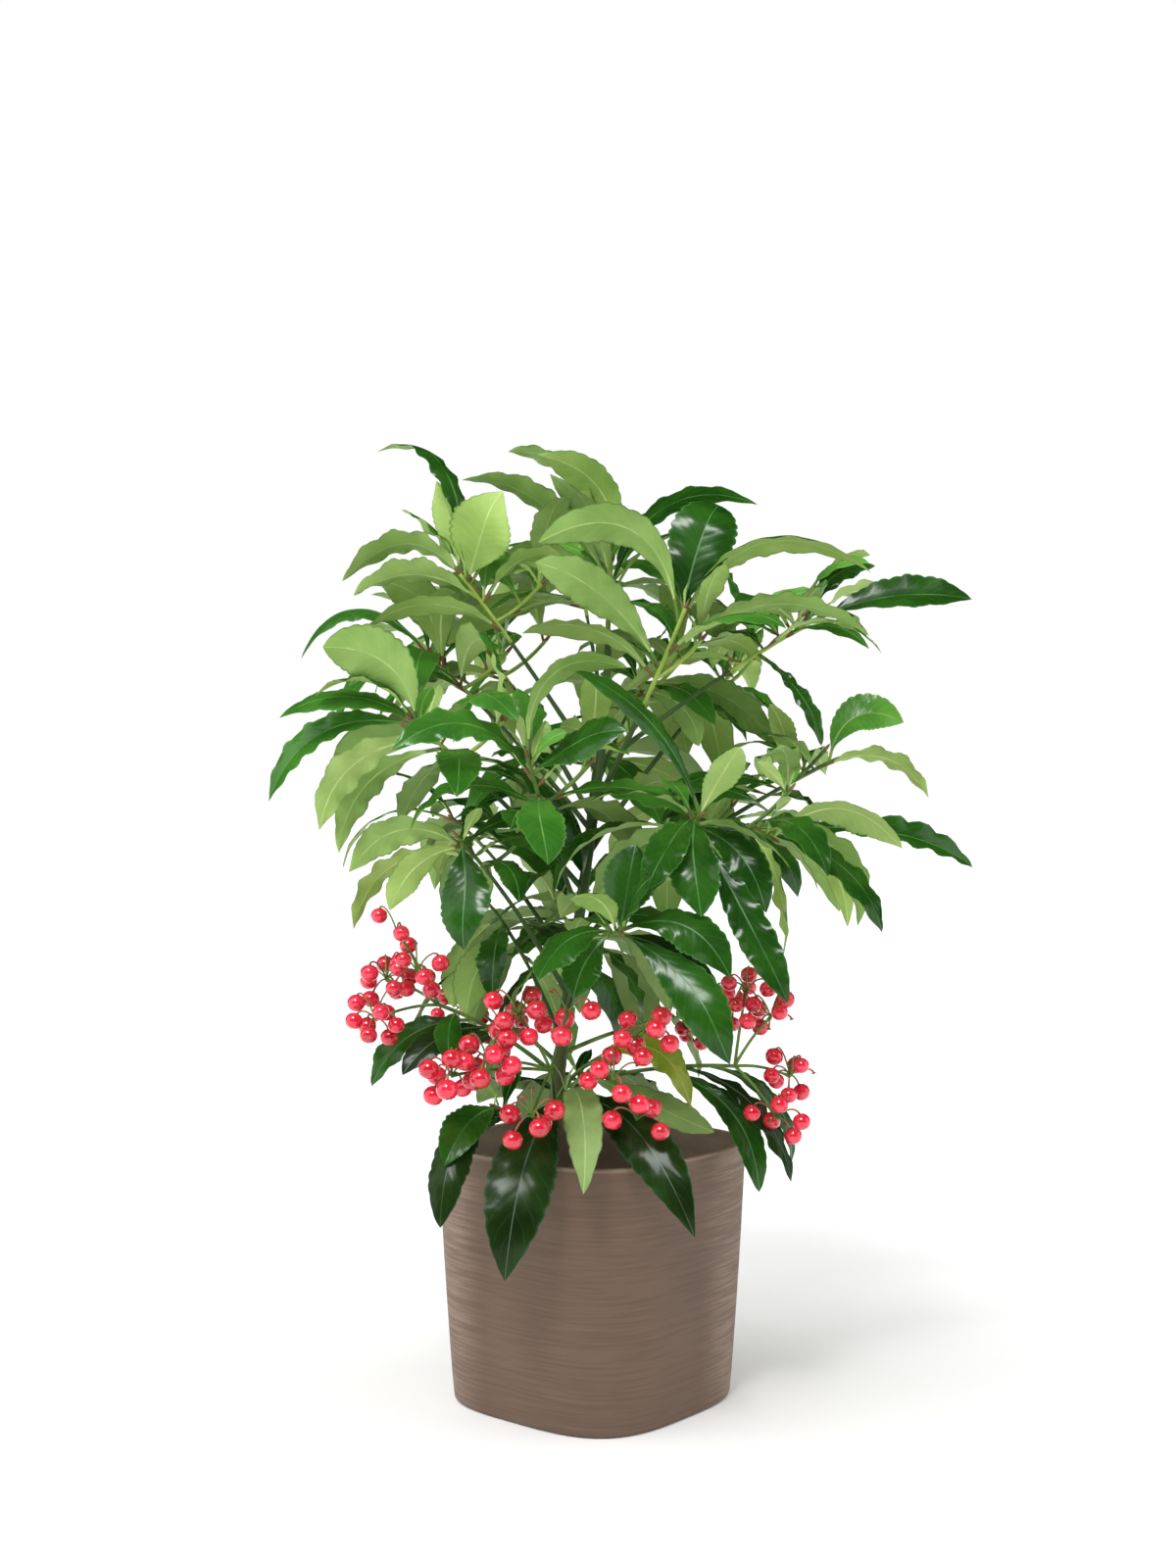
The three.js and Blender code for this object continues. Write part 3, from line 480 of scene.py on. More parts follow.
def add_leaf(name, leaf_at, kind):
    """Try each nudge in turn, and keep the first leaf that stands clear."""
    for nudge in NUDGES:
        leaf = leaf_at(nudge)
        whole, blade = rough_leaf(leaf, GUARD, LEAF_OUTLINE), rough_leaf(leaf, 0, LEAF_OUTLINE[1:])
        if not is_wanted(kind, leaf, blade[0][1:]):
            continue
        if is_clear(whole, all_but(name)) and is_clear(blade, [name]):
            keep(name, rough_leaf(leaf, 0, LEAF_OUTLINE))
            LEAVES.setdefault(name, []).append((kind, leaf))
            return


def add_leading_leaf(name, base, tip, arch, facing):
    def leaf_at(nudge):
        shift = np.array([0, *nudge]) * LEADING_SHIFT
        return Leaf(base, np.array(tip, float) + shift, arch, UP + TO_VIEWER * facing)

    add_leaf(name, leaf_at, "leading")


print(len(NUDGES), "ways to stand for each leaf")

# %% [markdown]
# ## Leaves by rule
# Up a shoot, each leaf stands a golden angle round from the last, so none shades the one below. Low
# leaves hang out and top leaves stand up. Leaves could be scattered over a ball instead, but they
# would show no shoot. Chance sways each bearing, rise, length and tilt a little.

# %% Leafy shoots
TWIG_LENGTH = 30.0
TWIG_RISE = math.radians(40)
TWIG_LEAVES = 3
TWIG_BOW = -2.0
FIRST_TWIG = 0.3


class Shoot:
    """The leafy end of a course, from a share of it to its tip, with the radius where it starts."""

    def __init__(self, course, start, radius):
        self.course, self.start, self.radius = course, start, radius

    def at(self, share):
        return self.course.at(mix(self.start, 1, share))

    def radius_at(self, t):
        return mix(self.radius, SHOOT_RADIUS_TIP, (t - self.start) / (1 - self.start))

    def rough(self, steps):
        return rough_tube(self.course, self.start, 1, self.radius_at, sides=3, steps=steps)


def side_twig(shoot, share, bearing):
    base = shoot.at(share)
    tip = reached(base, bearing, TWIG_RISE, TWIG_LENGTH)
    return Shoot(bowed(base, tip, TWIG_BOW), 0, SHOOT_RADIUS_TIP)


print("a side twig is", TWIG_LENGTH, "mm long and bears", TWIG_LEAVES, "leaves")

# %% Leaves by rule
BEARING_PLAY = 0.5
RISE_PLAY = math.radians(16)
LENGTH_PLAY = (0.86, 1.08)
TOP_LEAF_LENGTH = 0.72
ARCH_PLAY = (0.12, 0.24)
MOST_TILT = 0.9
LEAFY_STRETCH = (0.15, 0.95)


def add_ruled_leaf(name, shoot, mass, place, count, turn, draw, kind):
    share = place / (count - 1) if count > 1 else 0.5
    bearing = turn + place * GOLDEN_ANGLE + (draw() - 0.5) * BEARING_PLAY
    rise = math.radians(mix(*mass.rises, share)) + (draw() - 0.5) * RISE_PLAY
    length = mass.leaf_length * mix(1, TOP_LEAF_LENGTH, share) * mix(*LENGTH_PLAY, draw())
    arch = mix(*ARCH_PLAY, draw())
    tilted = FULL_TURN * draw()
    tilt = MOST_TILT * draw()
    faces = np.array([math.cos(tilted) * tilt, math.sin(tilted) * tilt, 1])
    base = shoot.at(mix(*LEAFY_STRETCH, share))

    def leaf_at(nudge):
        return Leaf(base, reached(base, bearing + nudge[0], rise + nudge[1], length), arch, faces)

    add_leaf(name, leaf_at, kind)


def add_whorl(name, shoot, mass, count, turn, draw, kind="ruled"):
    for place in range(count):
        add_ruled_leaf(name, shoot, mass, place, count, turn, draw, kind)


def count_leaves():
    return sum(len(leaves) for leaves in LEAVES.values())


print("leaves turn", round(math.degrees(GOLDEN_ANGLE), 1), "degrees from one to the next")

# %% [markdown]
# ## Growing the plant
# The order matters, because what stands first has the right of way: trunk, boughs, shoots, fruit
# stalks, the leading leaves that make the outline, the berries, and last the leaves of the rule.

# %% Trunk and boughs in their rough form


def trunk_radius(t):
    """The trunk tapers evenly and flares out at its foot."""
    height = TRUNK.at(t)[2] - TRUNK.points[0][2]
    flare = ROOT_FLARE * max(0, 1 - height / ROOT_FLARE_HEIGHT) ** 2
    return mix(*TRUNK_RADII, t) + flare


def bough_radius(radius, end, t):
    return radius * mix(1, BOUGH_TAPER, t / end)


LIMBS = {"trunk": TRUNK}
LEADERS = {}
keep("trunk", rough_tube(TRUNK, 0, 1, trunk_radius, sides=8, steps=10))
for name, (parent, share, tip, bow, radius) in BOUGHS.items():
    course = bowed(LIMBS[parent].at(share), tip, bow)
    end = 1 - FOLIAGE[name].shoot_length / course.length()
    LIMBS[name] = course
    taper = partial(bough_radius, radius, end)
    keep("bough_" + name, rough_tube(course, 0, end, taper, sides=4, steps=4))
    shoot_radius = max(radius * BOUGH_TAPER, SHOOT_RADIUS_TIP)
    LEADERS[name] = Shoot(course, end + GAP / course.length(), shoot_radius)
LEADERS["trunk_top"] = Shoot(bowed(TRUNK.at(1.0) + UP * GAP, LEADER_TIP, 0), 0, TRUNK_RADII[1])
print("longest bough:", max(round(LIMBS[name].length()) for name in BOUGHS), "mm")

# %% Shoots, side twigs and fruit stalks
FIRST_SHOOT_SEED = 1001
FIRST_FRUIT_SEED = 5001
SKIRT_BOW = 2.0
STALK_BOW = 4.0
RAY_BOW = 2.0
STALK_RADIUS = 1.2
RAY_RADIUS = 0.8
TWIGS = {}
grown_shoots = []
for i, (name, mass) in enumerate(FOLIAGE.items()):
    draw = chance(FIRST_SHOOT_SEED + i)
    turn = draw() * FULL_TURN
    leader = LEADERS[name]
    twigs = [side_twig(leader, FIRST_TWIG * (j + 1), turn + j * GOLDEN_ANGLE) for j in range(mass.twigs)]
    for shoot, steps in [(leader, 2), *[(twig, 1) for twig in twigs]]:
        keep(name, shoot.rough(steps))
    TWIGS[name] = [leader, *twigs]
    grown_shoots.append((name, mass, leader, twigs, turn, draw))
for name, (share, tip, _) in SKIRTS.items():
    shoot = Shoot(bowed(TRUNK.at(share), tip, SKIRT_BOW), 0, SHOOT_RADIUS_TIP)
    keep(name, shoot.rough(2))
    TWIGS[name] = [shoot]
STALKS = {}
for name, (parent, share, hub, umbels, _) in FRUIT.items():
    stalk = bowed(LIMBS[parent].at(share), hub, STALK_BOW)
    rays = [bowed(hub, umbel[0], RAY_BOW) for umbel in umbels]
    STALKS[name] = stalk, rays
    for course, radius in [(stalk, STALK_RADIUS), *[(ray, RAY_RADIUS) for ray in rays]]:
        keep("fruit_" + name, rough_tube(course, 0, 1, lambda t: radius, sides=3, steps=2))
print(sum(len(shoots) for shoots in TWIGS.values()), "shoots and side twigs")

# %% [markdown]
# ## Leading leaves
# The large leaves that the photograph shows one by one make the crown's outline. Chance couldn't find
# their places, so each has its tip in the tables, and it stands before any leaf of the rule does.

# %% Leading leaves
STALK_LEAVES = {"first": 0.55, "step": 0.15, "arch": 0.16, "facing": 0.8}
for name, mass in FOLIAGE.items():
    for share, *rest in mass.leading:
        add_leading_leaf(name, LEADERS[name].at(share), *rest)
for name, (_, _, leading) in SKIRTS.items():
    for share, *rest in leading:
        add_leading_leaf(name, TWIGS[name][0].course.at(share), *rest)
for name, fruit in FRUIT.items():
    for i, tip in enumerate(fruit.leaf_tips):
        base = STALKS[name][0].at(STALK_LEAVES["first"] + STALK_LEAVES["step"] * i)
        add_leading_leaf("fruit_" + name, base, tip, STALK_LEAVES["arch"], STALK_LEAVES["facing"])
print(count_leaves(), "leading leaves stand clear")

# %% [markdown]
# ## Where the berries are
# An umbel is a loose ball of berries round the end of a ray. Berries placed by chance alone would
# clump, so a golden angle deals them round the ball from its top to its foot, and each one looks for a
# free place nearby.

# %% Rough berries round their umbels
BERRY_RADIUS = 4.5
LEAST_BETWEEN = 1.7 * BERRY_RADIUS
UMBEL_RADIUS = 12.5
UMBEL_PLAY = (0.85, 1.15)
UMBEL_DOME = 0.85
# A rough berry is two level triangles between its poles, in shares of its radius
BERRY_TRIANGLE = [(0.8, 0), (-0.4, 0.7), (-0.4, -0.7)]
BERRY_LEVELS = (-0.6, 0.6)
BERRIES = {}


def rough_berry(centre, radius):
    levels = [np.array([(x, y, level) for x, y in BERRY_TRIANGLE]) for level in BERRY_LEVELS]
    rings = [centre + radius * level for level in levels]
    return loft(rings, centre - UP * radius, centre + UP * radius)


def add_berry(name, hub, bearing, rise, reach):
    for turned, _ in NUDGES:
        centre = reached(hub, bearing + 2 * turned, rise, reach)
        between = [np.linalg.norm(centre - other) for _, other in BERRIES.get(name, [])]
        crowded = min(between, default=math.inf) <= LEAST_BETWEEN
        if not crowded and is_clear(rough_berry(centre, BERRY_RADIUS + GUARD), all_but(name)):
            BERRIES.setdefault(name, []).append((hub, centre))
            keep(name, rough_berry(centre, BERRY_RADIUS))
            return


for i, (name, fruit) in enumerate(FRUIT.items()):
    draw = chance(FIRST_FRUIT_SEED + i)
    for hub, _, count in fruit.umbels:
        hub = np.array(hub, float)
        turn = draw() * FULL_TURN
        for j in range(count):
            rise = math.asin(mix(UMBEL_DOME, -UMBEL_DOME, (j + 0.5) / count))
            reach = UMBEL_RADIUS * mix(*UMBEL_PLAY, draw())
            add_berry("fruit_" + name, hub, turn + j * GOLDEN_ANGLE, rise, reach)
print(sum(len(berries) for berries in BERRIES.values()), "berries")

# %% [markdown]
# ## Filling the crown
# Between the leading leaves a real crown is full of plainer ones. They come in three rounds: the
# leaves of the solids' rule, which keep the shape that the solids have, then inner leaves behind them,
# and last the youngest leaves, short and upright, which crowd each shoot's tip. One round with more
# leaves would be simpler, but the later rounds mustn't take the places of the first.

# %% Leaves of the rule
for name, mass, leader, twigs, turn, draw in grown_shoots:
    for i, twig in enumerate(twigs):
        add_whorl(name, twig, mass, TWIG_LEAVES, turn + i, draw)
    add_whorl(name, leader, mass, mass.leaves - len(twigs) * TWIG_LEAVES, turn + math.pi, draw)
print("leaves so far:", count_leaves())

# %% Inner leaves
INNER_ON_LEADER, INNER_ON_TWIG = 7, 2
FIRST_INNER_SEED = 8001
for i, (name, mass, leader, twigs, turn, _) in enumerate(grown_shoots):
    draw = chance(FIRST_INNER_SEED + i)
    add_whorl(name, leader, mass, INNER_ON_LEADER, turn + 1, draw, "inner")
    for twig in twigs:
        add_whorl(name, twig, mass, INNER_ON_TWIG, turn + 2, draw, "inner")
print("leaves so far:", count_leaves())

# %% Young leaves at the shoots' tips
YOUNG_LEAVES = 4
YOUNG_LENGTH = (14, 34)
YOUNG_RISE = (72, 38)
YOUNG_STRETCH = (1, 0.82)
YOUNG_ARCH = 0.1
FIRST_YOUNG_SEED, YOUNG_SEED_STEP = 7001, 17


def add_young_leaves(name, shoot, draw):
    turn = draw() * FULL_TURN
    for place in range(YOUNG_LEAVES):
        share = place / (YOUNG_LEAVES - 1)
        length = mix(*YOUNG_LENGTH, share) * mix(*LENGTH_PLAY, draw())
        rise = math.radians(mix(*YOUNG_RISE, share))
        base, bearing = shoot.at(mix(*YOUNG_STRETCH, share)), turn + place * GOLDEN_ANGLE
        faces = np.array([math.cos(bearing), math.sin(bearing), 1.0])

        def leaf_at(nudge):
            tip = reached(base, bearing + nudge[0], rise + nudge[1], length)
            return Leaf(base, tip, YOUNG_ARCH, faces)

        add_leaf(name, leaf_at, "young")


for i, (name, shoots) in enumerate(TWIGS.items()):
    for j, shoot in enumerate(shoots):
        add_young_leaves(name, shoot, chance(FIRST_YOUNG_SEED + YOUNG_SEED_STEP * i + j))
print(dict(sorted(Counter(kind for leaves in LEAVES.values() for kind, _ in leaves).items())))

# %% [markdown]
# ## Finishes
# Every surface has its own node material: a colour that drifts with a noise pattern read in Object
# coordinates, and a little relief. Leaves also read their own UV map, which runs from stalk to tip and
# from midrib to margin, so that the side veins can sweep forward in pairs. Leaves differ by age and by
# side, so there is a plain base colour for each, dealt out leaf by leaf.

# %% Helpers for node materials


def paint(code):
    """A linear colour from the six-figure code of a paint card."""
    shares = [int(code[i : i + 2], 16) / 255 for i in (0, 2, 4)]
    linear = [c / 12.92 if c <= 0.04045 else ((c + 0.055) / 1.055) ** 2.4 for c in shares]
    return (*linear, 1.0)


class Finish:
    """A Principled material with short ways to add a drifting colour and some relief."""

    def __init__(self, name, roughness, **sockets):
        self.material = bpy.data.materials.new(name)
        self.material.use_nodes = True
        self.nodes, self.links = self.material.node_tree.nodes, self.material.node_tree.links
        self.shader = self.nodes["Principled BSDF"]
        self.shader.inputs["Roughness"].default_value = roughness
        for socket, value in sockets.items():
            self.shader.inputs[socket.replace("_", " ")].default_value = value

    def add(self, kind, settings=None, **inputs):
        """A new node. A socket goes by its name, or by _ and its number where a name stands twice."""
        node = self.nodes.new(kind)
        for key, value in (settings or {}).items():
            setattr(node, key, value)
        for socket, value in inputs.items():
            slot = node.inputs[int(socket[1:]) if socket[1:].isdigit() else socket.replace("_", " ")]
            if isinstance(value, bpy.types.NodeSocket):
                self.links.new(value, slot)
            else:
                slot.default_value = value
        return node

    def math(self, operation, *values):
        inputs = {f"_{i}": value for i, value in enumerate(values)}
        return self.add("ShaderNodeMath", {"operation": operation}, **inputs).outputs[0]

    def coordinates(self, node, output):
        """The three parts of a texture coordinate, one socket each."""
        return self.add("ShaderNodeSeparateXYZ", Vector=self.add(node).outputs[output]).outputs

    def noise(self, scale, detail, stretch=(1, 1, 1)):
        place = self.add("ShaderNodeTexCoord").outputs["Object"]
        stretched = self.add("ShaderNodeMapping", Vector=place, Scale=stretch).outputs[0]
        return self.add("ShaderNodeTexNoise", Vector=stretched, Scale=scale, Detail=detail).outputs["Fac"]

    def blend(self, share, low, high):
        """Two colours mixed by a share. Each is a paint code or the colour from another node."""
        low, high = [paint(colour) if isinstance(colour, str) else colour for colour in (low, high)]
        return self.add("ShaderNodeMix", {"data_type": "RGBA"}, _0=share, _6=low, _7=high).outputs[2]

    def spread(self, value, low=0.35, high=0.65, to_low=0.0, to_high=1.0):
        """A value spread over a new range. Most of a noise pattern lies between the first two limits."""
        node = self.add("ShaderNodeMapRange", {"interpolation_type": "SMOOTHSTEP"}, Value=value)
        limits = {"From Min": low, "From Max": high, "To Min": to_low, "To Max": to_high}
        for socket, limit in limits.items():
            node.inputs[socket].default_value = limit
        return node.outputs[0]

    def colour(self, socket):
        self.links.new(socket, self.shader.inputs["Base Color"])

    def relief(self, height, strength, distance):
        bump = self.add("ShaderNodeBump", Height=height, Strength=strength, Distance=distance)
        self.links.new(bump.outputs[0], self.shader.inputs["Normal"])


print("mid grey from its code:", [round(share, 3) for share in paint("808080")[:3]])

# %% [markdown]
# ## Leaf finishes
# A coral-berry leaf is leathery: glossy and dark on top, matt and pale below, with a pale midrib,
# faint side veins and a slightly puckered skin. Veins could be drawn on a picture, but a ripple that
# is worked out from the UV map stays sharp at any size. It runs along the leaf and is swept forward
# from midrib to margin, and a vein lies wherever it comes back to nothing.
# A paler band along the margin of each top is a painted highlight along the leaf's edge; on the underside
# the band is the top's own darker green.

# %% Stem and leaf finishes
VEIN_PAIRS = 12.0
VEIN_SWEEP = 1.9
VEIN_WIDTH = 0.09
QUILT_WIDTH = 0.4
PUCKER = 1.6
MARGIN_START = 0.88
MARGIN_STRENGTH = 0.55


def mottled_finish(name, roughness, low, high, scale, detail, stretch, strength, distance):
    """A colour that drifts between two with a noise pattern, which also gives the relief."""
    finish = Finish(name, roughness)
    pattern = finish.noise(scale, detail, stretch)
    finish.colour(finish.blend(finish.spread(pattern), low, high))
    finish.relief(pattern, strength, distance)
    return finish.material


def stem_finish(name, low, high, roughness=0.5):
    return mottled_finish(name, roughness, low, high, scale=90.0, detail=3.0, stretch=(1, 1, 0.3),
                          strength=0.3, distance=0.0004)


def leaf_finish(name, low, high, vein, margin, roughness, shine, vein_strength, relief):
    finish = Finish(name, roughness, Specular_IOR_Level=shine)
    drift = finish.spread(finish.noise(scale=38.0, detail=4.0), low=0.3, high=0.7)
    body = finish.blend(drift, low, high)
    along, outward, _ = finish.coordinates("ShaderNodeUVMap", 0)
    sweep = finish.math("MULTIPLY", outward, VEIN_SWEEP)
    phase = finish.math("SUBTRACT", finish.math("MULTIPLY", along, VEIN_PAIRS), sweep)
    ripple = finish.math("PINGPONG", phase, 0.5)
    line = finish.spread(ripple, low=0.0, high=VEIN_WIDTH, to_low=vein_strength, to_high=0.0)
    veined = finish.blend(line, body, vein)
    # A band along the margin: on a top a paler painted highlight along the edge, on an underside the
    # top's own darker green
    edge = finish.spread(outward, low=MARGIN_START, high=1.0, to_low=0.0, to_high=MARGIN_STRENGTH)
    finish.colour(finish.blend(edge, veined, margin))
    quilted = finish.spread(ripple, low=0.0, high=QUILT_WIDTH)
    puckered = finish.math("MULTIPLY_ADD", finish.noise(scale=110.0, detail=3.0), PUCKER, quilted)
    finish.relief(puckered, strength=relief, distance=0.0008)
    return finish.material


print("a leaf's finish shows", round(VEIN_PAIRS), "pairs of veins")

# %% Leaf finishes by age
# The colours of a leaf's top, its underside, and the midrib on either side, from oldest to youngest
AGES = {
    "old": ("142509", "223c13", "769650", "8eac66", "3c5c40", "a4c070"),
    "dark": ("163f0a", "2a5d14", "84aa52", "9abf67", "4c8440", "bcd882"),
    "grown": ("2d661a", "437e28", "9abd5c", "aece70", "68a04a", "d2ea9c"),
    "young": ("4c8a2e", "66a23c", "9cbe66", "b2cf7a", "8cba60", "dcec9c"),
    "turning": ("5d7a1c", "8c9a2c", "93a24c", "a8b05c", "a4ac50", "c0c47c"),
}
GLOSS, MATT = 0.22, 0.6
TOP_SHINE, OLD_TOP_SHINE, UNDERSIDE_SHINE = 0.32, 0.17, 0.3
LEAF_TOPS, LEAF_UNDERSIDES, TOP_RIBS, UNDERSIDE_RIBS = [], [], [], []
for age, (top_low, top_high, under_low, under_high, top_rib, under_rib) in AGES.items():
    shine = OLD_TOP_SHINE if age == "old" else TOP_SHINE
    # A top's margin band takes the pale midrib green as a painted highlight along its edge
    LEAF_TOPS.append(leaf_finish(
        age + " leaf top", top_low, top_high, vein=top_rib, margin=top_rib,
        roughness=GLOSS, shine=shine, vein_strength=0.15, relief=0.06))
    LEAF_UNDERSIDES.append(leaf_finish(
        age + " leaf underside", under_low, under_high, vein=under_rib, margin=top_low,
        roughness=MATT, shine=UNDERSIDE_SHINE, vein_strength=0.12, relief=0.08))
    TOP_RIBS.append(stem_finish(age + " top midrib", top_high, top_rib, roughness=0.4))
    UNDERSIDE_RIBS.append(stem_finish(age + " underside midrib", under_high, under_rib))
print(len(LEAF_TOPS) + len(LEAF_UNDERSIDES), "leaf finishes")

# %% [markdown]
# ## Bark and fruit finishes
# The young wood is still green above and browns towards the soil, so its colour is spread over the
# height, which Object coordinates give in metres. A berry has a clear, wet-looking skin: a coat over a
# red that drifts a little. A plain glossy red would do from afar, but it looks like plastic close by.

# %% Bark and fruit finishes
BROWN_HEIGHT, GREEN_HEIGHT = 0.13, 0.24
RAGGEDNESS = 0.05


def bark_finish():
    """Green wood that browns towards the soil, with fine cracks along it."""
    finish = Finish("young bark", roughness=0.62)
    height = finish.coordinates("ShaderNodeTexCoord", "Object")[2]
    streaks = finish.noise(scale=420.0, detail=5.0, stretch=(1, 1, 0.25))
    patches = finish.noise(scale=55.0, detail=4.0)
    green = finish.blend(patches, "26441a", "4a6a2a")
    brown = finish.blend(streaks, "42341f", "6f5e42")
    ragged = finish.math("ADD", height, finish.math("MULTIPLY", patches, RAGGEDNESS))
    finish.colour(finish.blend(finish.spread(ragged, BROWN_HEIGHT, GREEN_HEIGHT), brown, green))
    finish.relief(finish.math("ADD", streaks, patches), strength=0.5, distance=0.0008)
    return finish.material


def berry_finish(name, low, high):
    finish = Finish(name, 0.2, Specular_IOR_Level=0.5, Coat_Weight=1.0, Coat_Roughness=0.06)
    finish.colour(finish.blend(finish.spread(finish.noise(scale=150.0, detail=2.0)), low, high))
    finish.relief(finish.noise(scale=220.0, detail=1.0), strength=0.05, distance=0.0003)
    return finish.material


BARK = bark_finish()
GREEN_STEM = stem_finish("green stem", "3f6222", "6b8f36")
YOUNG_STEM = stem_finish("young stem", "86a83c", "a9c455")
RUSSET_STEM = stem_finish("russet stem", "6f5430", "8f6a42")
CORAL_SKIN = berry_finish("coral berry", "ea183a", "f63250")
RIPE_SKIN = berry_finish("ripe berry", "c8122c", "e0263e")
CALYX = stem_finish("dry calyx", "4a3020", "6f4a2c")
print("finishes:", len(bpy.data.materials))

# %% [markdown]
# ## Camera, floor and light
# The camera stands where the photograph was taken. The floor and the light are a plain white studio:
# an even glow from all round, a broad lamp overhead, a small bright one in front, another that only
# puts the gleam on leaves and berries, and soft ones at the sides. Lamps close by would leave the far
# floor dark, so they are wide suns, which light near and far alike.

# %% Camera
SENSOR = 36.0


def put_in_scene(name, data):
    thing = bpy.data.objects.new(name, data)
    bpy.context.scene.collection.objects.link(thing)
    return thing


camera_data = bpy.data.cameras.new("photo camera")
camera_data.sensor_width = SENSOR
camera_data.lens = FOCAL_PIXELS * SENSOR / PHOTO_HEIGHT
camera = put_in_scene("photo camera", camera_data)
camera.location = [c * MM for c in CAMERA_PLACE]
camera.rotation_euler = (math.radians(90), 0, 0)
bpy.context.scene.camera = camera
bpy.context.scene.view_settings.view_transform = "Standard"
print("lens:", round(camera_data.lens, 1), "mm")

# %% Floor and white room
FLOOR_HALF = 30.0
WORLD_LIGHT = 0.5
WHITE = (1, 1, 1, 1)

bm = bmesh.new()
bmesh.ops.create_grid(bm, x_segments=1, y_segments=1, size=FLOOR_HALF)
floor_mesh = bpy.data.meshes.new("floor")
bm.to_mesh(floor_mesh)
bm.free()
floor = put_in_scene("floor", floor_mesh)
floor_paint = Finish("pale floor", roughness=0.9)
floor_paint.colour(floor_paint.blend(floor_paint.noise(scale=3.0, detail=2.0), "f8f8f8", "fbfbfb"))
floor_mesh.materials.append(floor_paint.material)

world = bpy.data.worlds.new("studio")
bpy.context.scene.world = world
world.use_nodes = True
nodes, links = world.node_tree.nodes, world.node_tree.links
backdrop = nodes["Background"]
backdrop.inputs["Color"].default_value = WHITE
room_light = nodes.new("ShaderNodeBackground")
room_light.inputs["Color"].default_value = WHITE
room_light.inputs["Strength"].default_value = WORLD_LIGHT
seen, either = nodes.new("ShaderNodeLightPath"), nodes.new("ShaderNodeMixShader")
links.new(seen.outputs["Is Camera Ray"], either.inputs[0])
links.new(room_light.outputs[0], either.inputs[1])
links.new(backdrop.outputs[0], either.inputs[2])
links.new(either.outputs[0], nodes["World Output"].inputs["Surface"])
world.cycles_visibility.glossy = False
print("the room gives", WORLD_LIGHT, "of the light that the camera sees")

# %% Suns
# Each sun shines from a place towards the plant: its place, its strength, how wide it is in degrees,
# whether it lights surfaces, and whether it gleams on glossy ones. A broad light that gleamed would
# turn dark leaves milky, and one that gleams strongly enough for berries would overexpose the planter.
SUNS = {
    "broad sun overhead": ((-0.1, -0.3, 1.5), 1.0, 110, True, False),
    "bright sun in front": ((-0.3, -0.9, 1.3), 0.85, 12, True, False),
    "gleam in front": ((-0.2, -0.85, 1.15), 2.0, 20, False, True),
    "soft sun above left": ((-0.6, -0.6, 1.2), 0.6, 45, True, True),
    "sun at the left": ((-1.5, -0.3, 0.5), 0.75, 50, True, True),
    "sun at the right": ((1.5, -0.2, 0.5), 0.65, 50, True, True),
}
for name, (place, strength, width, lights, gleams) in SUNS.items():
    sun_data = bpy.data.lights.new(name, "SUN")
    sun_data.energy = strength
    sun_data.angle = math.radians(width)
    sun = put_in_scene(name, sun_data)
    sun.location = place
    sun.visible_diffuse, sun.visible_glossy = lights, gleams
    sun.rotation_euler = Vector(place).to_track_quat("Z", "Y").to_euler()
print(len(SUNS), "suns")

# %% [markdown]
# ## Heaps
# A crown is hundreds of small things, so each kind is modelled once with bmesh, and its points are
# then bent into place with arrays and joined with the others. A heap gathers the bent copies, the
# finish of each face, its UV map and its keen edges, and at the end becomes one mesh that rides with
# the plant.

# %% Masters and pieces


class Master:
    """The points and faces of a shape modelled once with bmesh, ready to be bent many times."""

    def __init__(self, bm):
        bmesh.ops.recalc_face_normals(bm, faces=bm.faces[:])
        bm.verts.index_update()
        self.points = np.array([v.co[:] for v in bm.verts])
        self.faces = [[v.index for v in face.verts] for face in bm.faces]
        bm.free()


def add_piece(name, mesh, slot, *nodes):
    """A piece that rides with the plant in the place of its plain solids."""
    piece = put_in_scene(name, mesh)
    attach(piece, "root")
    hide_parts(*nodes)
    return piece


def triangles(*pieces):
    return sum(len(polygon.vertices) - 2 for piece in pieces for polygon in piece.data.polygons)


# %% Heaps


class Heap:
    """Bent copies of masters, gathered into one mesh."""

    def __init__(self):
        self.points, self.faces, self.finishes, self.uvs, self.margins, self.count = [], [], [], [], [], 0

    def add(self, points, faces, finishes, uvs=None, margin=None):
        """Add one copy. The finishes are one for all its faces, or a list with one for each face."""
        self.points.append(points)
        self.faces += [[i + self.count for i in face] for face in faces]
        self.finishes += finishes if isinstance(finishes, list) else [finishes] * len(faces)
        self.uvs.append(np.zeros((len(points), 2)) if uvs is None else uvs)
        self.margins.append(np.zeros(len(points), bool) if margin is None else margin)
        self.count += len(points)

    def make(self, name, materials, slot, *nodes, smooth=True):
        mesh = bpy.data.meshes.new(name)
        mesh.from_pydata((np.vstack(self.points) * MM).tolist(), [], self.faces)
        for material in materials:
            mesh.materials.append(material)
        mesh.polygons.foreach_set("material_index", self.finishes)
        mesh.polygons.foreach_set("use_smooth", [smooth] * len(self.faces))
        corners = np.zeros(len(mesh.loops), int)
        mesh.loops.foreach_get("vertex_index", corners)
        mesh.uv_layers.new(name="UVMap").data.foreach_set("uv", np.vstack(self.uvs)[corners].ravel())
        mesh.validate()
        ends = np.zeros(len(mesh.edges) * 2, int)
        mesh.edges.foreach_get("vertices", ends)
        keen = np.concatenate(self.margins)[ends.reshape(-1, 2)].all(axis=1)
        mesh.attributes.new("sharp_edge", "BOOLEAN", "EDGE").data.foreach_set("value", keen)
        return add_piece(name, mesh, slot, *nodes)


print("a new heap holds", Heap().count, "points")

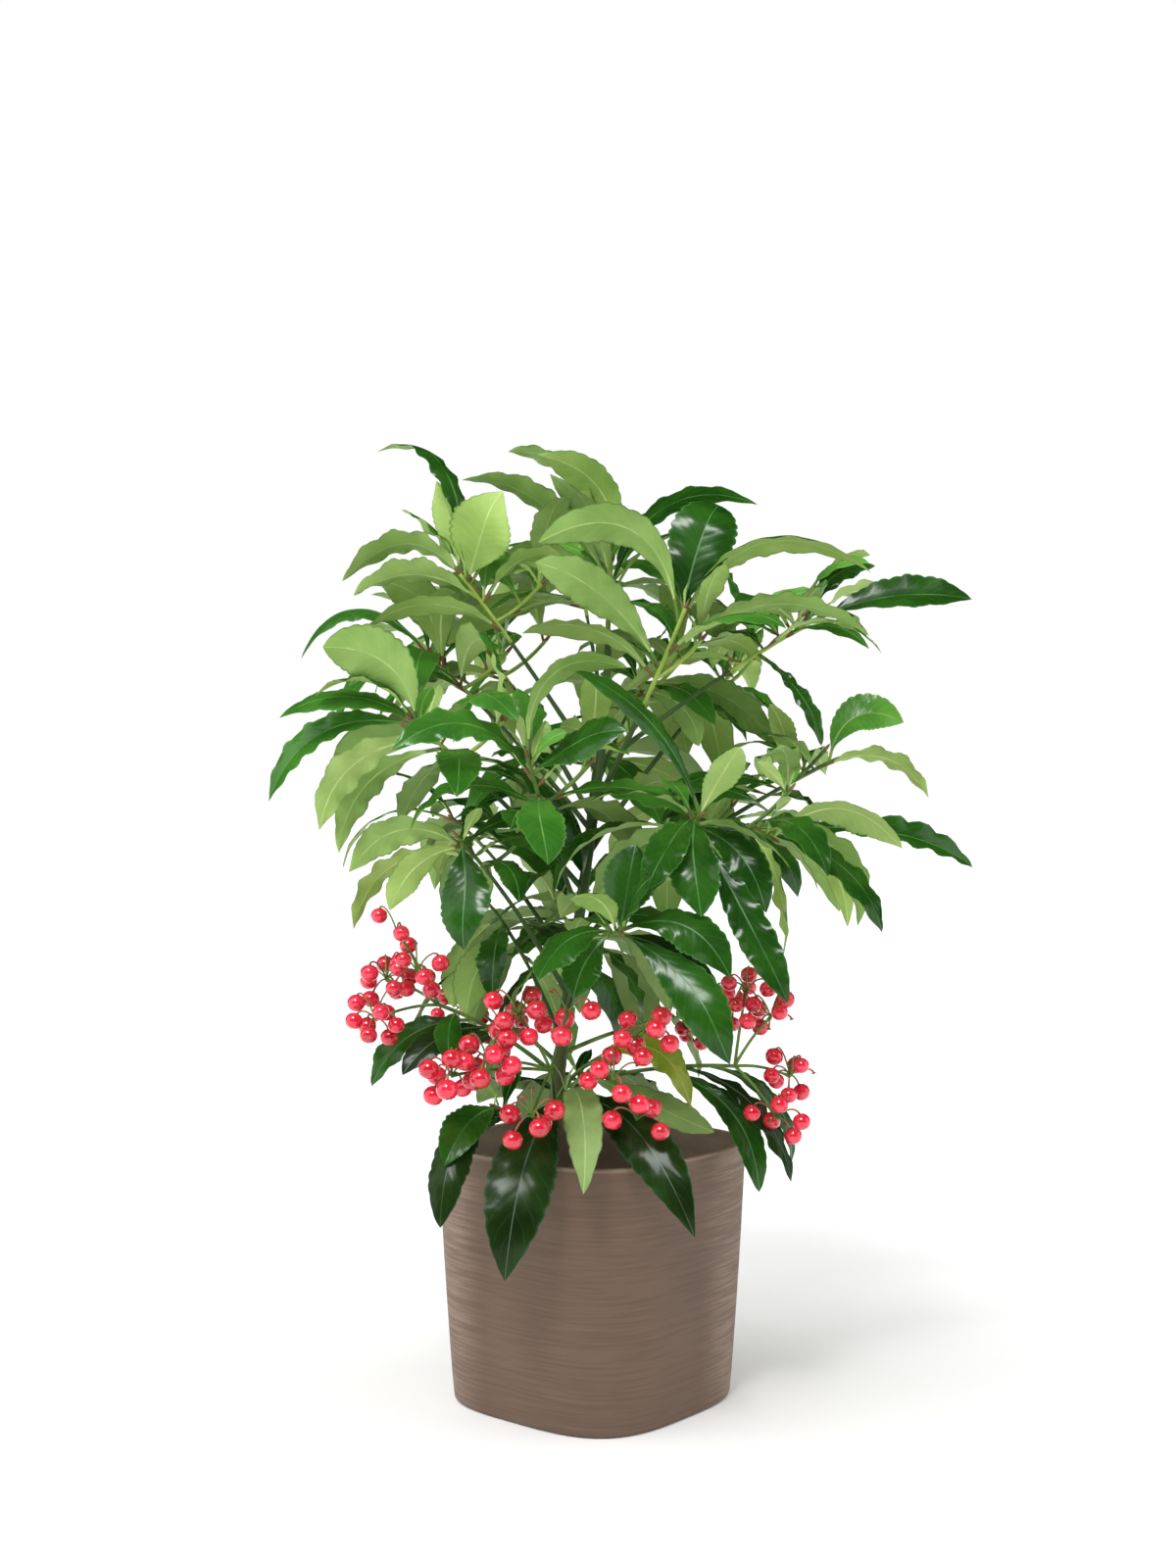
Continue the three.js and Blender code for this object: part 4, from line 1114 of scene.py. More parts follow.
# %% [markdown]
# ## Leaves
# A coral-berry leaf has a short stalk, a blade that is widest just past its middle, a drawn-out tip,
# and a margin of shallow rounded teeth that ruffles up and down. It could be a flat card, but its
# teeth, its pale raised midrib and the two faces of different green show from a step away. So a
# blade is modelled once as a thin closed sheet, two layers that meet in a keen margin, and each leaf
# bends that sheet along its own midrib. The leading leaves use the finest blade, the rest of those in
# front a plainer one, and the hundreds of others one of a few dozen faces.

# %% The master blades
PETIOLE_SHARE = 0.1
TOOTH_FADE = 0.3


class Blade(Master):
    """A thin closed sheet. Its points know their station, their column and their layer of the leaf."""

    def __init__(self, teeth, tooth_stations, petiole_stations, columns):
        stations = petiole_stations + tooth_stations * teeth
        bm = bmesh.new()
        bmesh.ops.create_grid(bm, x_segments=stations, y_segments=columns, size=1)
        twin = bmesh.ops.duplicate(bm, geom=bm.verts[:] + bm.edges[:] + bm.faces[:])["geom"]
        for vert in twin:
            if isinstance(vert, bmesh.types.BMVert) and not vert.is_boundary:
                vert.co.z -= 1
        bmesh.ops.remove_doubles(bm, verts=bm.verts[:], dist=0.001)
        super().__init__(bm)
        station = np.round((self.points[:, 0] + 1) / 2 * stations).astype(int)
        self.column = np.round(self.points[:, 1] * columns).astype(int)
        self.margin = (station % stations == 0) | (abs(self.column) == columns)
        self.layer = np.where(self.margin, 0, np.where(self.points[:, 2] > -0.5, 1, -1))
        self.outward = (abs(self.column) - 1) / (columns - 1)
        self.kinds = [self.kind_of(face, station, petiole_stations) for face in self.faces]

        step = station - petiole_stations
        self.grown = np.clip(step / (stations - petiole_stations), 0, 1)
        on_stalk = PETIOLE_SHARE * station / petiole_stations
        self.share = np.where(step < 0, on_stalk, mix(PETIOLE_SHARE, 1, self.grown))
        notched = (step % tooth_stations == 0) | (step < 0)
        self.tooth = np.where(notched, -0.5, 0.5) * np.sin(np.pi * self.grown) ** TOOTH_FADE

    def kind_of(self, face, station, petiole_stations):
        if station[face].max() <= petiole_stations:
            return "petiole"
        side = "top" if self.layer[face].max() > 0 else "underside"
        return side + (" midrib" if abs(self.column[face]).max() == 1 else "")


FINE_BLADE = Blade(teeth=13, tooth_stations=3, petiole_stations=3, columns=7)
PLAIN_BLADE = Blade(teeth=9, tooth_stations=3, petiole_stations=2, columns=5)
SIMPLE_BLADE = Blade(teeth=6, tooth_stations=2, petiole_stations=1, columns=3)
for title, blade in (("fine", FINE_BLADE), ("plain", PLAIN_BLADE), ("simple", SIMPLE_BLADE)):
    print(title, "blade:", len(blade.faces), "faces")

# %% [markdown]
# ## Bending a blade
# No two leaves are alike: each folds along its midrib, curls, twists, sways and ruffles in its own
# measure. That could be done with a stack of modifiers for each leaf, but hundreds of stacks are slow.
# So the sheet's points are worked out at once: how far they stand off the midrib, how far above it,
# and then where that is along the leaf's own bent midrib.

# %% What varies from leaf to leaf
LEAF_PLAY = {
    "ruffle": (0.5, 1.7), "waves": (0.8, 1.1), "phase": (0, ANY_PHASE), "other_phase": (0, ANY_PHASE),
    "fold": (0.05, 0.4), "recurve": (0.05, 0.5), "plump": (0.74, 1.0), "twist": (-0.6, 0.6),
    "sway": (-0.06, 0.06), "curl": (0, 1), "drawn_out": (0.8, 1.1),
}
MOST_CURL = 0.12


def traits_of(look, draw):
    """A leaf's traits by chance, or by its look where that has them. Few leaves curl much."""
    traits = {trait: mix(*limits, draw()) for trait, limits in LEAF_PLAY.items()}
    traits["curl"] = MOST_CURL * traits["curl"] ** 2
    return {**traits, **look}


print(len(LEAF_PLAY), "traits vary")

# %% How wide a leaf is
PETIOLE_HALF = 0.8
TIP_HALF = 0.12
MIDRIB_HALF = 0.65
MIDRIB_TAPER = 0.7
MIDRIB_MOST = 0.5
TOOTH_DEPTH = 0.07
SHOULDER = 0.8
FULL_STALK_LENGTH = 50.0


def blade_width(share, drawn_out):
    """Width along the blade, from 0 at the stalk to 1 past the middle. A drawn-out tip is slimmer."""
    shares = np.linspace(0, 1, 61)
    widest = (shares * (1 - shares) ** drawn_out * (1 + SHOULDER * shares)).max()
    return share * (1 - share) ** drawn_out * (1 + SHOULDER * share) / widest


def off_midrib(blade, length, traits):
    """How far each point stands off the midrib, and half the greatest width."""
    by_length = min(length * LEAF_WIDTH_SHARE * traits["plump"], LEAF_WIDEST)
    half_width = traits.get("breadth", by_length) / 2
    stalk = mix(PETIOLE_HALF, TIP_HALF, blade.share) * min(1, length / FULL_STALK_LENGTH)
    width = half_width * blade_width(blade.grown, traits["drawn_out"])
    half = np.hypot(stalk, width * (1 + TOOTH_DEPTH * blade.tooth))
    rib = np.minimum(MIDRIB_HALF * (1 - MIDRIB_TAPER * blade.share), half * MIDRIB_MOST)
    return np.sign(blade.column) * mix(rib, half, blade.outward), half_width


print("a blade is widest at", round(max((blade_width(t, 1.0), t) for t in np.linspace(0, 1, 101))[1], 2))

# %% How a leaf rises and dips
PETIOLE_THICKNESS = 1.5
PETIOLE_FADE = 9
BLADE_THICKNESS = 0.45
MARGIN_THINNESS = 0.6
MIDRIB_KEEL = 0.45
TOOTH_CRIMP = 0.28
RUFFLE_PITCH = 15.0
FULL_RUFFLE_LENGTH = 60.0
FULL_THICKNESS_LENGTH = 45.0


def above_midrib(blade, across, half_width, length, traits):
    """How far each point stands above the midrib: fold, recurved margins, ruffles, teeth, thickness."""
    ruffle = traits["ruffle"] * min(1, length / FULL_RUFFLE_LENGTH)
    waves = length / RUFFLE_PITCH * traits["waves"]
    phase = np.where(blade.column > 0, traits["phase"], traits["other_phase"])
    wave = np.sin(FULL_TURN * waves * blade.grown + phase)
    rise = abs(across) * traits["fold"] - across**2 / half_width * traits["recurve"]
    swelling = np.sin(np.pi * blade.grown) ** 0.5
    rise += swelling * blade.outward**3 * (ruffle * wave + TOOTH_CRIMP * blade.tooth)
    flat = BLADE_THICKNESS * mix(1, MARGIN_THINNESS, blade.outward)
    stalked = np.clip(1 - blade.grown * PETIOLE_FADE, 0, 1)
    thickness = mix(flat, PETIOLE_THICKNESS, stalked) * min(1, length / FULL_THICKNESS_LENGTH)
    keel = np.where((blade.outward == 0) & (blade.layer < 0), MIDRIB_KEEL * (1 - blade.share), 0)
    return rise + (blade.layer * thickness / 2 - keel)


print("a fine blade ruffles about", round(80.0 / RUFFLE_PITCH, 1), "times along 80 mm")

# %% How a blade is bent into a leaf
CURL_START = 0.6


def bend_leaf(blade, leaf, look, draw):
    """The points of one leaf, and for each its share from stalk to tip and from midrib to margin."""
    tip, faces = leaf.tip + np.array(look.get("shift", (0, 0, 0))), leaf.faces
    if "facing" in look:
        faces = (UP + TO_VIEWER * look["facing"]) * (-1 if look.get("upside_down") else 1)
    course, length = midrib(leaf.base, tip, look.get("arch", leaf.arch))
    traits = traits_of(look, draw)
    across, half_width = off_midrib(blade, length, traits)
    rise = above_midrib(blade, across, half_width, length, traits)

    chord = unit(tip - leaf.base)
    upper = unit(faces - chord * (faces @ chord))
    along = course.heading(blade.share)
    top = unit(upper - along * (along @ upper)[:, None])
    side = np.cross(top, along)
    roll = (traits["twist"] * blade.grown)[:, None]
    top, side = top * np.cos(roll) - side * np.sin(roll), side * np.cos(roll) + top * np.sin(roll)
    swayed = traits["sway"] * length * np.sin(np.pi * blade.share)
    curled = traits["curl"] * length * np.clip((blade.grown - CURL_START) / (1 - CURL_START), 0, 1) ** 2
    centre = course.at(blade.share) + side * swayed[:, None] - top * curled[:, None]
    points = centre + side * across[:, None] + top * rise[:, None]
    return points, np.stack([blade.share, blade.outward], axis=1)


trial_points, _ = bend_leaf(SIMPLE_BLADE, trial_leaf, {}, chance(1))
print("a leaf of 80 mm spans", [round(float(span)) for span in np.ptp(trial_points, axis=0)], "mm")

# %% [markdown]
# ## Ages of the leaves
# The leaves low in the crown are the oldest and darkest, and those at the shoots' tips the youngest and
# palest. One green for all would look like plastic, so height and a little chance decide each leaf's
# age, and its age decides its finishes.

# %% Ages of the leaves
STALK_COLOURS = [GREEN_STEM, GREEN_STEM, RUSSET_STEM, YOUNG_STEM, RUSSET_STEM]
LEAF_MATERIALS = [*LEAF_TOPS, *LEAF_UNDERSIDES, *TOP_RIBS, *UNDERSIDE_RIBS, *STALK_COLOURS]
LEAF_PARTS = ["top", "underside", "top midrib", "underside midrib", "petiole"]
OLDEST_HEIGHT = 170.0
YOUNGEST_HEIGHT = 447.0
YOUNGEST = list(AGES).index("young")
AGE_PLAY = 0.9
YOUNG_LEAF_AGE = 1.2


def leaf_age(kind, leaf, look, draw):
    if "age" in look:
        return list(AGES).index(look["age"])
    middle = (leaf.base[2] + leaf.tip[2]) / 2
    up = (middle - OLDEST_HEIGHT) / (YOUNGEST_HEIGHT - OLDEST_HEIGHT)
    age = up * YOUNGEST + (draw() - 0.5) * AGE_PLAY
    if kind == "young":
        age += YOUNG_LEAF_AGE
    return int(np.clip(round(age), 0, YOUNGEST))


def leaf_finishes(blade, age):
    """The index of each face's finish in LEAF_MATERIALS, by what part of the leaf it is."""
    return [LEAF_PARTS.index(kind) * len(AGES) + age for kind in blade.kinds]


print(len(LEAF_MATERIALS), "finishes for", len(LEAF_PARTS), "parts of a leaf at", len(AGES), "ages")

# %% [markdown]
# ## The look of each leading leaf
# The photograph shows each leading leaf well enough to tell its breadth in millimetres, its age, and
# how far its face turns to the viewer, where less than nothing shows the underside. Some also have an
# arch, a twist or a curl of the tip of their own, a face turned upside down, or a shift of the tip in
# millimetres. All other leaves take these by chance and by their height in the crown. The looks stand
# in the order of the leading leaves in the tables.
# Two undersides on the upper right take a darker age than their height gives, as painted shade.

# %% Looks


def look(breadth, age, facing, **more):
    return {"breadth": breadth, "age": age, "facing": facing, **more}


LOOKS = {
    "trunk_top": [
        look(23, "grown", -0.8, curl=0.05), look(18, "dark", -0.9, arch=0.1, shift=(0, 0, 5)),
        look(15, "dark", -0.6, shift=(0, 0, 8)), look(22, "dark", 0.5, arch=0.22, shift=(2, 0, 4))],
    "top_left": [
        look(17, "grown", -2), look(33, "grown", -2, curl=-0.12, shift=(3, 0, 0)),
        look(20, "young", -0.8, arch=0.36), look(20, "young", -0.9, arch=0.19),
        look(14, "dark", 0.9, arch=0.24, twist=1.0, shift=(1, 0, 5)), look(13, "grown", -0.5)],
    "upper_right": [
        # The second and third leaves are undersides high in the crown; the dark age gives them a darker
        # green that is painted shade
        look(33, "dark", 1.7, curl=0.3, shift=(7, 0, 10)), look(21, "dark", -0.9), look(22, "dark", -1),
        look(25, "grown", -0.5, arch=0.3), look(18, "dark", -0.6)],
    "far_upper_right": [
        look(25, "dark", 0.9, arch=0.08), look(13, "dark", 0.4), look(10, "grown", 0.5),
        look(9, "dark", 0.6, arch=0.1, shift=(0, 0, -11)), look(12, "dark", 0.3)],
    "middle_right": [
        look(22, "young", 1.1, curl=0.1, arch=0.3, shift=(4, 0, -3)), look(17, "grown", -0.6, arch=0.25),
        look(13, "grown", -0.5), look(13, "grown", -0.6)],
    "lower_right": [
        look(25, "young", -0.8, shift=(-2, 0, -3)), look(20, "dark", 0.8, arch=0.12, shift=(4, 0, -1)),
        look(18, "dark", 0.9, arch=0.1), look(16, "grown", -0.7, arch=0.12), look(12, "grown", -0.6)],
    "centre_right": [
        look(17, "dark", 0.9), look(24, "dark", 1), look(18, "dark", 0.9, arch=0.07),
        look(17, "young", -0.8, shift=(6, 0, -30)), look(19, "dark", 0.8), look(18, "dark", 0.9)],
    "centre_left": [
        look(18, "dark", -0.6), look(19, "grown", 0.9), look(25, "dark", 1), look(23, "grown", 1)],
    "left": [
        look(29, "dark", -1, curl=-0.05), look(20, "grown", 0.4, arch=0.16),
        look(21, "grown", 0.9, arch=0.2), look(20, "young", -0.9, shift=(2, 0, -2)),
        look(18, "dark", -0.7), look(22, "grown", 1)],
    "upper_left": [look(17, "grown", 0.6, arch=0.33), look(15, "dark", -0.6), look(16, "dark", 0)],
    "lower_left": [
        look(25, "dark", 1), look(17, "grown", -0.9), look(18, "dark", -1.2, shift=(6, 0, -9)),
        look(16, "grown", -0.7, shift=(-4, 0, -2)), look(14, "dark", 1)],
    "front_centre": [
        look(23, "dark", 0.9, arch=0.07), look(22, "dark", 0.8, arch=0.26), look(25, "dark", 1),
        look(21, "dark", 1), look(22, "dark", 0.9), look(18, "dark", 0.9)],
    "inner_left": [
        look(22, "dark", -1, shift=(17, 0, -11)), look(17, "dark", -0.6, arch=0.16, shift=(39, 0, -29)),
        look(18, "dark", -0.9)],
    "inner_right": [look(20, "dark", -1.3), look(23, "dark", -1.4, shift=(9, 0, -11))],
    "skirt_front": [
        look(31, "old", 1), look(24, "old", 0.9), look(19, "old", 0.6, upside_down=True),
        look(19, "old", -0.6, shift=(-4, 0, -6))],
    "skirt_left": [
        look(20, "dark", 0.9), look(19, "old", 0.9, shift=(3, 0, 0)),
        look(18, "old", 0.6, shift=(24, 0, -22))],
    "back_right": [{"shift": (-12, 0, 38)}],
    "fruit_left": [look(17, "old", 0.8), look(17, "dark", 0.8), look(14, "dark", 0.8)],
    "fruit_centre_right": [
        look(20, "old", 0.6, upside_down=True, arch=0.04, shift=(18, 0, -7)),
        look(20, "turning", 0.8, arch=0.36, shift=(2, 0, -22))],
    "fruit_right": [look(15, "dark", 0.8), look(13, "old", 0.8), look(12, "dark", 0.8)],
}
print(sum(len(looks) for looks in LOOKS.values()), "leading leaves have a look of their own")

# %% [markdown]
# ## Leaf pieces
# Each mass of leaves becomes one piece, as each is one solid. A leaf that is seen close by gets more
# faces than one deep in the crown, so the fine margins cost little.

# %% Leaf pieces
FRONT_DEPTH = -12.0
FIRST_LEAF_SEED, LEAF_SEED_STEP = 9001, 31


def blade_for(kind, leaf):
    if kind == "leading":
        return FINE_BLADE
    in_front = kind == "ruled" and (leaf.base[1] + leaf.tip[1]) / 2 < FRONT_DEPTH
    return PLAIN_BLADE if in_front else SIMPLE_BLADE


leaf_pieces, face_counts = [], Counter()
for i, (name, leaves) in enumerate(LEAVES.items()):
    heap, draw = Heap(), chance(FIRST_LEAF_SEED + LEAF_SEED_STEP * i)
    looks = iter(LOOKS.get(name, []))
    for kind, leaf in leaves:
        blade = blade_for(kind, leaf)
        face_counts[len(blade.faces)] += 1
        own_look = next(looks, {}) if kind == "leading" else {}
        points, uvs = bend_leaf(blade, leaf, own_look, draw)
        finishes = leaf_finishes(blade, leaf_age(kind, leaf, own_look, draw))
        heap.add(points, blade.faces, finishes, uvs, blade.margin)
    node = name.replace("fruit_", "berries_") if name.startswith("fruit_") else "foliage_" + name
    leaf_pieces.append(heap.make("leaves_" + name, LEAF_MATERIALS, "foliage", node))
print("leaves by their number of faces:", dict(sorted(face_counts.items())))
print(len(leaf_pieces), "leaf pieces,", triangles(*leaf_pieces), "triangles")

# %% [markdown]
# ## Wood
# The trunk is a thin cane that leans and tapers, with a swollen foot, faint rings where old leaves
# have dropped, and bark that cracks lengthways. A cylinder is cut into many steps and laid along the
# limb's course, and its radius is varied with height and angle, so the rings and cracks are real
# relief. Boughs are made the same way and start inside their parent limb.

# %% A master stem and how it is laid along a course


def master_stem(sides, steps):
    bm = bmesh.new()
    bmesh.ops.create_cone(bm, cap_ends=True, segments=sides, radius1=1, radius2=1, depth=1)
    upright = [edge for edge in bm.edges if abs(edge.verts[0].co.z - edge.verts[1].co.z) > 0.5]
    bmesh.ops.subdivide_edges(bm, edges=upright, cuts=steps - 1, use_grid_fill=False)
    return Master(bm)


def lay_along(master, course, start, end, radius_at):
    """The master's points along a course: its height is the share, its sides stand off by radius."""
    x, y, z = master.points.T
    share = mix(start, end, np.clip(z + 0.5, 0, 1))
    front, side = sides_of(course, share)
    radius = radius_at(share, np.arctan2(y, x))[:, None]
    return course.at(share) + (front * x[:, None] + side * y[:, None]) * radius


TRUNK_STEM = master_stem(sides=18, steps=170)
BOUGH_STEM = master_stem(sides=12, steps=64)
print("the trunk's stem has", len(TRUNK_STEM.faces), "faces")

# %% Relief of the bark
SCAR_PITCH = (11, 15)
SCAR_WIDTH = 0.9
SCAR_SPIRAL = 2.4
SCAR_HEIGHT = 0.09
CRACKS_ROUND = 7
CRACK_WANDER = 9
CRACK_DEPTH = 0.025
LUMP_PITCH = 6
LUMP_HEIGHT = 0.03


def barked(radius_at, length, seed):
    """Bark relief over a limb's own radius: leaf-scar rings, lengthways cracks and a few lumps."""
    draw = chance(seed)
    phases = [ANY_PHASE * draw() for _ in range(6)]
    scar_phase, crack_phase, wander_phase, lump_phase, lobe_phase, _ = phases
    pitch = mix(*SCAR_PITCH, draw())

    def relief(share, angle):
        height = share * length
        radius = np.array([radius_at(t) for t in share])
        past_scar = (height + pitch * np.sin(scar_phase)) % pitch - pitch / 2
        scar = np.exp(-((past_scar / SCAR_WIDTH) ** 2))
        lobed = 0.6 + 0.4 * np.sin(angle + height / pitch * SCAR_SPIRAL)
        wander = 2 * np.sin(height / CRACK_WANDER + wander_phase)
        cracks = np.sin(CRACKS_ROUND * angle + crack_phase + wander)
        lumps = np.sin(height / LUMP_PITCH + lump_phase + np.sin(2 * angle + lobe_phase))
        return radius * (1 + SCAR_HEIGHT * scar * lobed + CRACK_DEPTH * cracks + LUMP_HEIGHT * lumps)

    return relief


trial = barked(trunk_radius, TRUNK.length(), seed=1)(np.linspace(0, 1, 101), 0)
print("the trunk's radius runs from", round(trial.min(), 1), "to", round(trial.max(), 1), "mm")

# %% Trunk and boughs
TRUNK_SUNK = 0.02
SLIMNESS = 0.8
TRUNK_SEED, FIRST_BOUGH_SEED = 11, 101
heap = Heap()
relief = barked(trunk_radius, TRUNK.length(), TRUNK_SEED)
heap.add(lay_along(TRUNK_STEM, TRUNK, -TRUNK_SUNK, 1, relief), TRUNK_STEM.faces, 0)
trunk = heap.make("trunk_bark", [BARK], "bark", "trunk")

heap = Heap()
for i, (name, (*_, foot_radius)) in enumerate(BOUGHS.items()):
    end, radius = LEADERS[name].start, SLIMNESS * foot_radius
    relief = barked(partial(bough_radius, radius, end), LIMBS[name].length(), FIRST_BOUGH_SEED + i)
    heap.add(lay_along(BOUGH_STEM, LIMBS[name], 0, end, relief), BOUGH_STEM.faces, 0)
boughs = heap.make("bough_bark", [BARK], "bark", *["bough_" + name for name in BOUGHS])
print("trunk and boughs:", triangles(trunk, boughs), "triangles")

# %% [markdown]
# ## Shoots and buds
# A leafy shoot is the green end of a bough. It keeps the bough's radius where it starts, tapers to
# little more than a millimetre, and ends in a reddish bud among the newest leaves. A bare tip would
# look cut off, so the bud is worth its few faces: it is the same stem, short and rounded off.

# %% Shoots, side twigs and buds
BUD_LENGTH = 5.0
BUD_RADIUS = 1.0
YOUNG_WOOD_HEIGHT = 330.0
FIRST_TWIG_SEED, TWIG_SEED_STEP = 211, 7
SHOOT_MATERIALS = [GREEN_STEM, YOUNG_STEM, RUSSET_STEM]
GREEN, PALE, RUSSET = range(len(SHOOT_MATERIALS))


def bud_radius(share, angle):
    return BUD_RADIUS * np.sqrt(np.clip(1 - share**2, 0.01, 1))


heap = Heap()
stem, bud = master_stem(sides=8, steps=14), master_stem(sides=6, steps=5)
for i, (name, shoots) in enumerate(TWIGS.items()):
    for j, shoot in enumerate(shoots):
        seed = FIRST_TWIG_SEED + TWIG_SEED_STEP * i + j
        knobbed = barked(lambda t: shoot.radius_at(t) * SLIMNESS, shoot.course.length(), seed)
        tip = shoot.at(1)
        finish = PALE if tip[2] > YOUNG_WOOD_HEIGHT else GREEN
        heap.add(lay_along(stem, shoot.course, shoot.start, 1, knobbed), stem.faces, finish)
        bud_course = Course(tip, tip + shoot.course.heading(1.0) * BUD_LENGTH)
        heap.add(lay_along(bud, bud_course, 0, 1, bud_radius), bud.faces, RUSSET)
twigs = heap.make("twigs", SHOOT_MATERIALS, "foliage", *["foliage_" + name for name in TWIGS])
print("twigs:", triangles(twigs), "triangles")

# %% [markdown]
# ## Berries
# Each berry is a glossy globe of about nine millimetres, slightly flattened, with a dark dot where
# its flower's style fell off. It hangs on a thin stalklet that springs from the umbel's hub, arches
# over and enters the berry through a small brown calyx. A few stalklets have lost their berry. The
# globe is modelled once with few faces and smooth shading, because it is repeated so often.

# %% Master berry and calyx
BERRY_FLATTENING = 0.94
DIMPLE = 0.1
DIMPLE_WIDTH = 0.3
SEPALS = 5
SEPAL_TIP, SEPAL_NOTCH = 1.25, 0.7


def master_berry():
    bm = bmesh.new()
    bmesh.ops.create_uvsphere(bm, u_segments=12, v_segments=8, radius=1)
    for vert in bm.verts:
        level = math.hypot(vert.co.x, vert.co.y)
        vert.co.z *= BERRY_FLATTENING * (1 - DIMPLE * math.exp(-((level / DIMPLE_WIDTH) ** 2)))
    return Master(bm)


def master_calyx():
    """Small sepals round a stalklet's end: a cone with every other corner of its foot drawn out."""
    bm = bmesh.new()
    bmesh.ops.create_cone(bm, cap_ends=True, segments=2 * SEPALS, radius1=1.0, radius2=0.25, depth=0.5)
    from_foot_up = sorted(bm.verts, key=lambda v: (v.co.z, math.atan2(v.co.y, v.co.x)))
    for i, vert in enumerate(from_foot_up[: 2 * SEPALS]):
        vert.co.xy *= SEPAL_TIP if i % 2 else SEPAL_NOTCH
    return Master(bm)


BERRY, CALYX_STAR = master_berry(), master_calyx()
print("a berry has", len(BERRY.faces), "faces")

# %% A stalklet
STALKLET_RADIUS = 0.45
STALKLET_SWELL = 0.5
STALKLET_LIFT = 0.45
STALKLET_REACH = 0.35
RED_FROM = -0.15
ASKEW = (0.31, 0.95, 0.0)
GREEN_PART, RED_PART, CALYX_PART = range(3)
THREAD = master_stem(sides=5, steps=8)
# A stalklet is green at its hub and red where it meets the berry
face_heights = [np.mean(THREAD.points[face, 2]) for face in THREAD.faces]
THREAD_FINISHES = [RED_PART if height > RED_FROM else GREEN_PART for height in face_heights]


def stalklet(hub, end, axis):
    """A course that rises from the hub and comes down on the berry along its axis."""
    lift = np.linalg.norm(end - hub) * STALKLET_LIFT
    return Course(hub, hub + (end - hub) * STALKLET_REACH + UP * lift, end + axis * lift * 0.5, end)


def stalklet_radius(share, angle):
    return STALKLET_RADIUS * (1 + STALKLET_SWELL * share**6)


def hung(points, centre, axis):
    """Points modelled round +Z, turned so that +Z points along axis, at centre."""
    level = unit(np.cross(axis, ASKEW))
    return centre + points[:, :1] * level + points[:, 1:2] * np.cross(axis, level) + points[:, 2:] * axis


print("red faces of a stalklet:", THREAD_FINISHES.count(RED_PART), "of", len(THREAD_FINISHES))

# %% How a berry hangs
BERRY_LEAN = (0.1, 0.5)
BERRY_PLAY = (0.92, 1.06)
CALYX_RADIUS = 1.3
CALYX_PLACE = 0.86
DOT_RADIUS = 0.42
DOT_PLACE = 0.88
BARE_SHARE = 0.12
PALER_SHARE = 0.6


def hang_berry(fruit, stalks, hub, centre, draw, plump):
    outward = unit((centre - hub) * np.array([1, 1, 0]) + 1e-6)
    axis = unit(UP - outward * mix(*BERRY_LEAN, draw()))
    size = BERRY_RADIUS * mix(*BERRY_PLAY, draw()) * plump
    end = centre + axis * size * CALYX_PLACE
    bare = draw() < BARE_SHARE
    course = stalklet(hub, end, axis)
    stalks.add(lay_along(THREAD, course, 0, 1, stalklet_radius), THREAD.faces, THREAD_FINISHES)
    stalks.add(hung(CALYX_STAR.points * CALYX_RADIUS, end, axis), CALYX_STAR.faces, CALYX_PART)
    if bare:
        return
    fruit.add(hung(BERRY.points * size, centre, axis), BERRY.faces, int(draw() > PALER_SHARE))
    dot = hung(CALYX_STAR.points * DOT_RADIUS, centre - axis * size * DOT_PLACE, -axis)
    fruit.add(dot, CALYX_STAR.faces, CALYX_PART)


print("about one stalklet in", round(1 / BARE_SHARE), "has lost its berry")

# %% Fruit stalks, stalklets and berries
FIRST_BERRY_SEED = 12001
FULL_RIPE = 1.1
STALK_RADII = (STALK_RADIUS, 0.9)
STALK_WAVE, STALK_WAVE_PITCH = 0.05, 9
RAY_RADII = (0.85, 0.6)
KNUCKLE, KNUCKLE_LENGTH = 0.5, 0.08
FRUIT_MATERIALS = [CORAL_SKIN, RIPE_SKIN, CALYX]
STALK_MATERIALS = [GREEN_STEM, stem_finish("red stalklet", "8a4a34", "b0684a"), CALYX]


def stalk_radius(share, angle):
    return mix(*STALK_RADII, share) * (1 + STALK_WAVE * np.sin(STALK_WAVE_PITCH * share))


def ray_radius(share, angle):
    """A ray thickens at its end to the knuckle that all the stalklets of an umbel spring from."""
    return mix(*RAY_RADII, share) + KNUCKLE * np.exp(-(((share - 1) / KNUCKLE_LENGTH) ** 2))


berry_pieces = []
stalk_stem, ray_stem = master_stem(sides=8, steps=16), master_stem(sides=7, steps=10)
for i, name in enumerate(FRUIT):
    berries, stalks, draw = Heap(), Heap(), chance(FIRST_BERRY_SEED + i)
    stalk, rays = STALKS[name]
    stalks.add(lay_along(stalk_stem, stalk, 0, 1, stalk_radius), stalk_stem.faces, GREEN_PART)
    for ray in rays:
        stalks.add(lay_along(ray_stem, ray, 0, 1, ray_radius), ray_stem.faces, GREEN_PART)
    plump = FULL_RIPE if name.startswith("centre") else 1.0
    for hub, centre in BERRIES["fruit_" + name]:
        hang_berry(berries, stalks, hub, centre, draw, plump)
    berry_pieces.append(berries.make("fruit_" + name, FRUIT_MATERIALS, "fruit", "berries_" + name))
    stalks.make("stalks_" + name, STALK_MATERIALS, "fruit", "berries_" + name)
print(triangles(*berry_pieces), "triangles of berries")

# %% [markdown]
# ## Planter
# The planter is a thin moulded shell, square with well-rounded corners, a little wider at the rim
# than at the foot. The profile of the wall, with a small round at its foot and at either side of its
# rim, is spun round the middle, and each point is then pushed out to the rounded square, so the
# rim and foot keep their small rounds. A box with a bevel would be quicker, but its corners couldn't
# tighten towards the foot as these do.

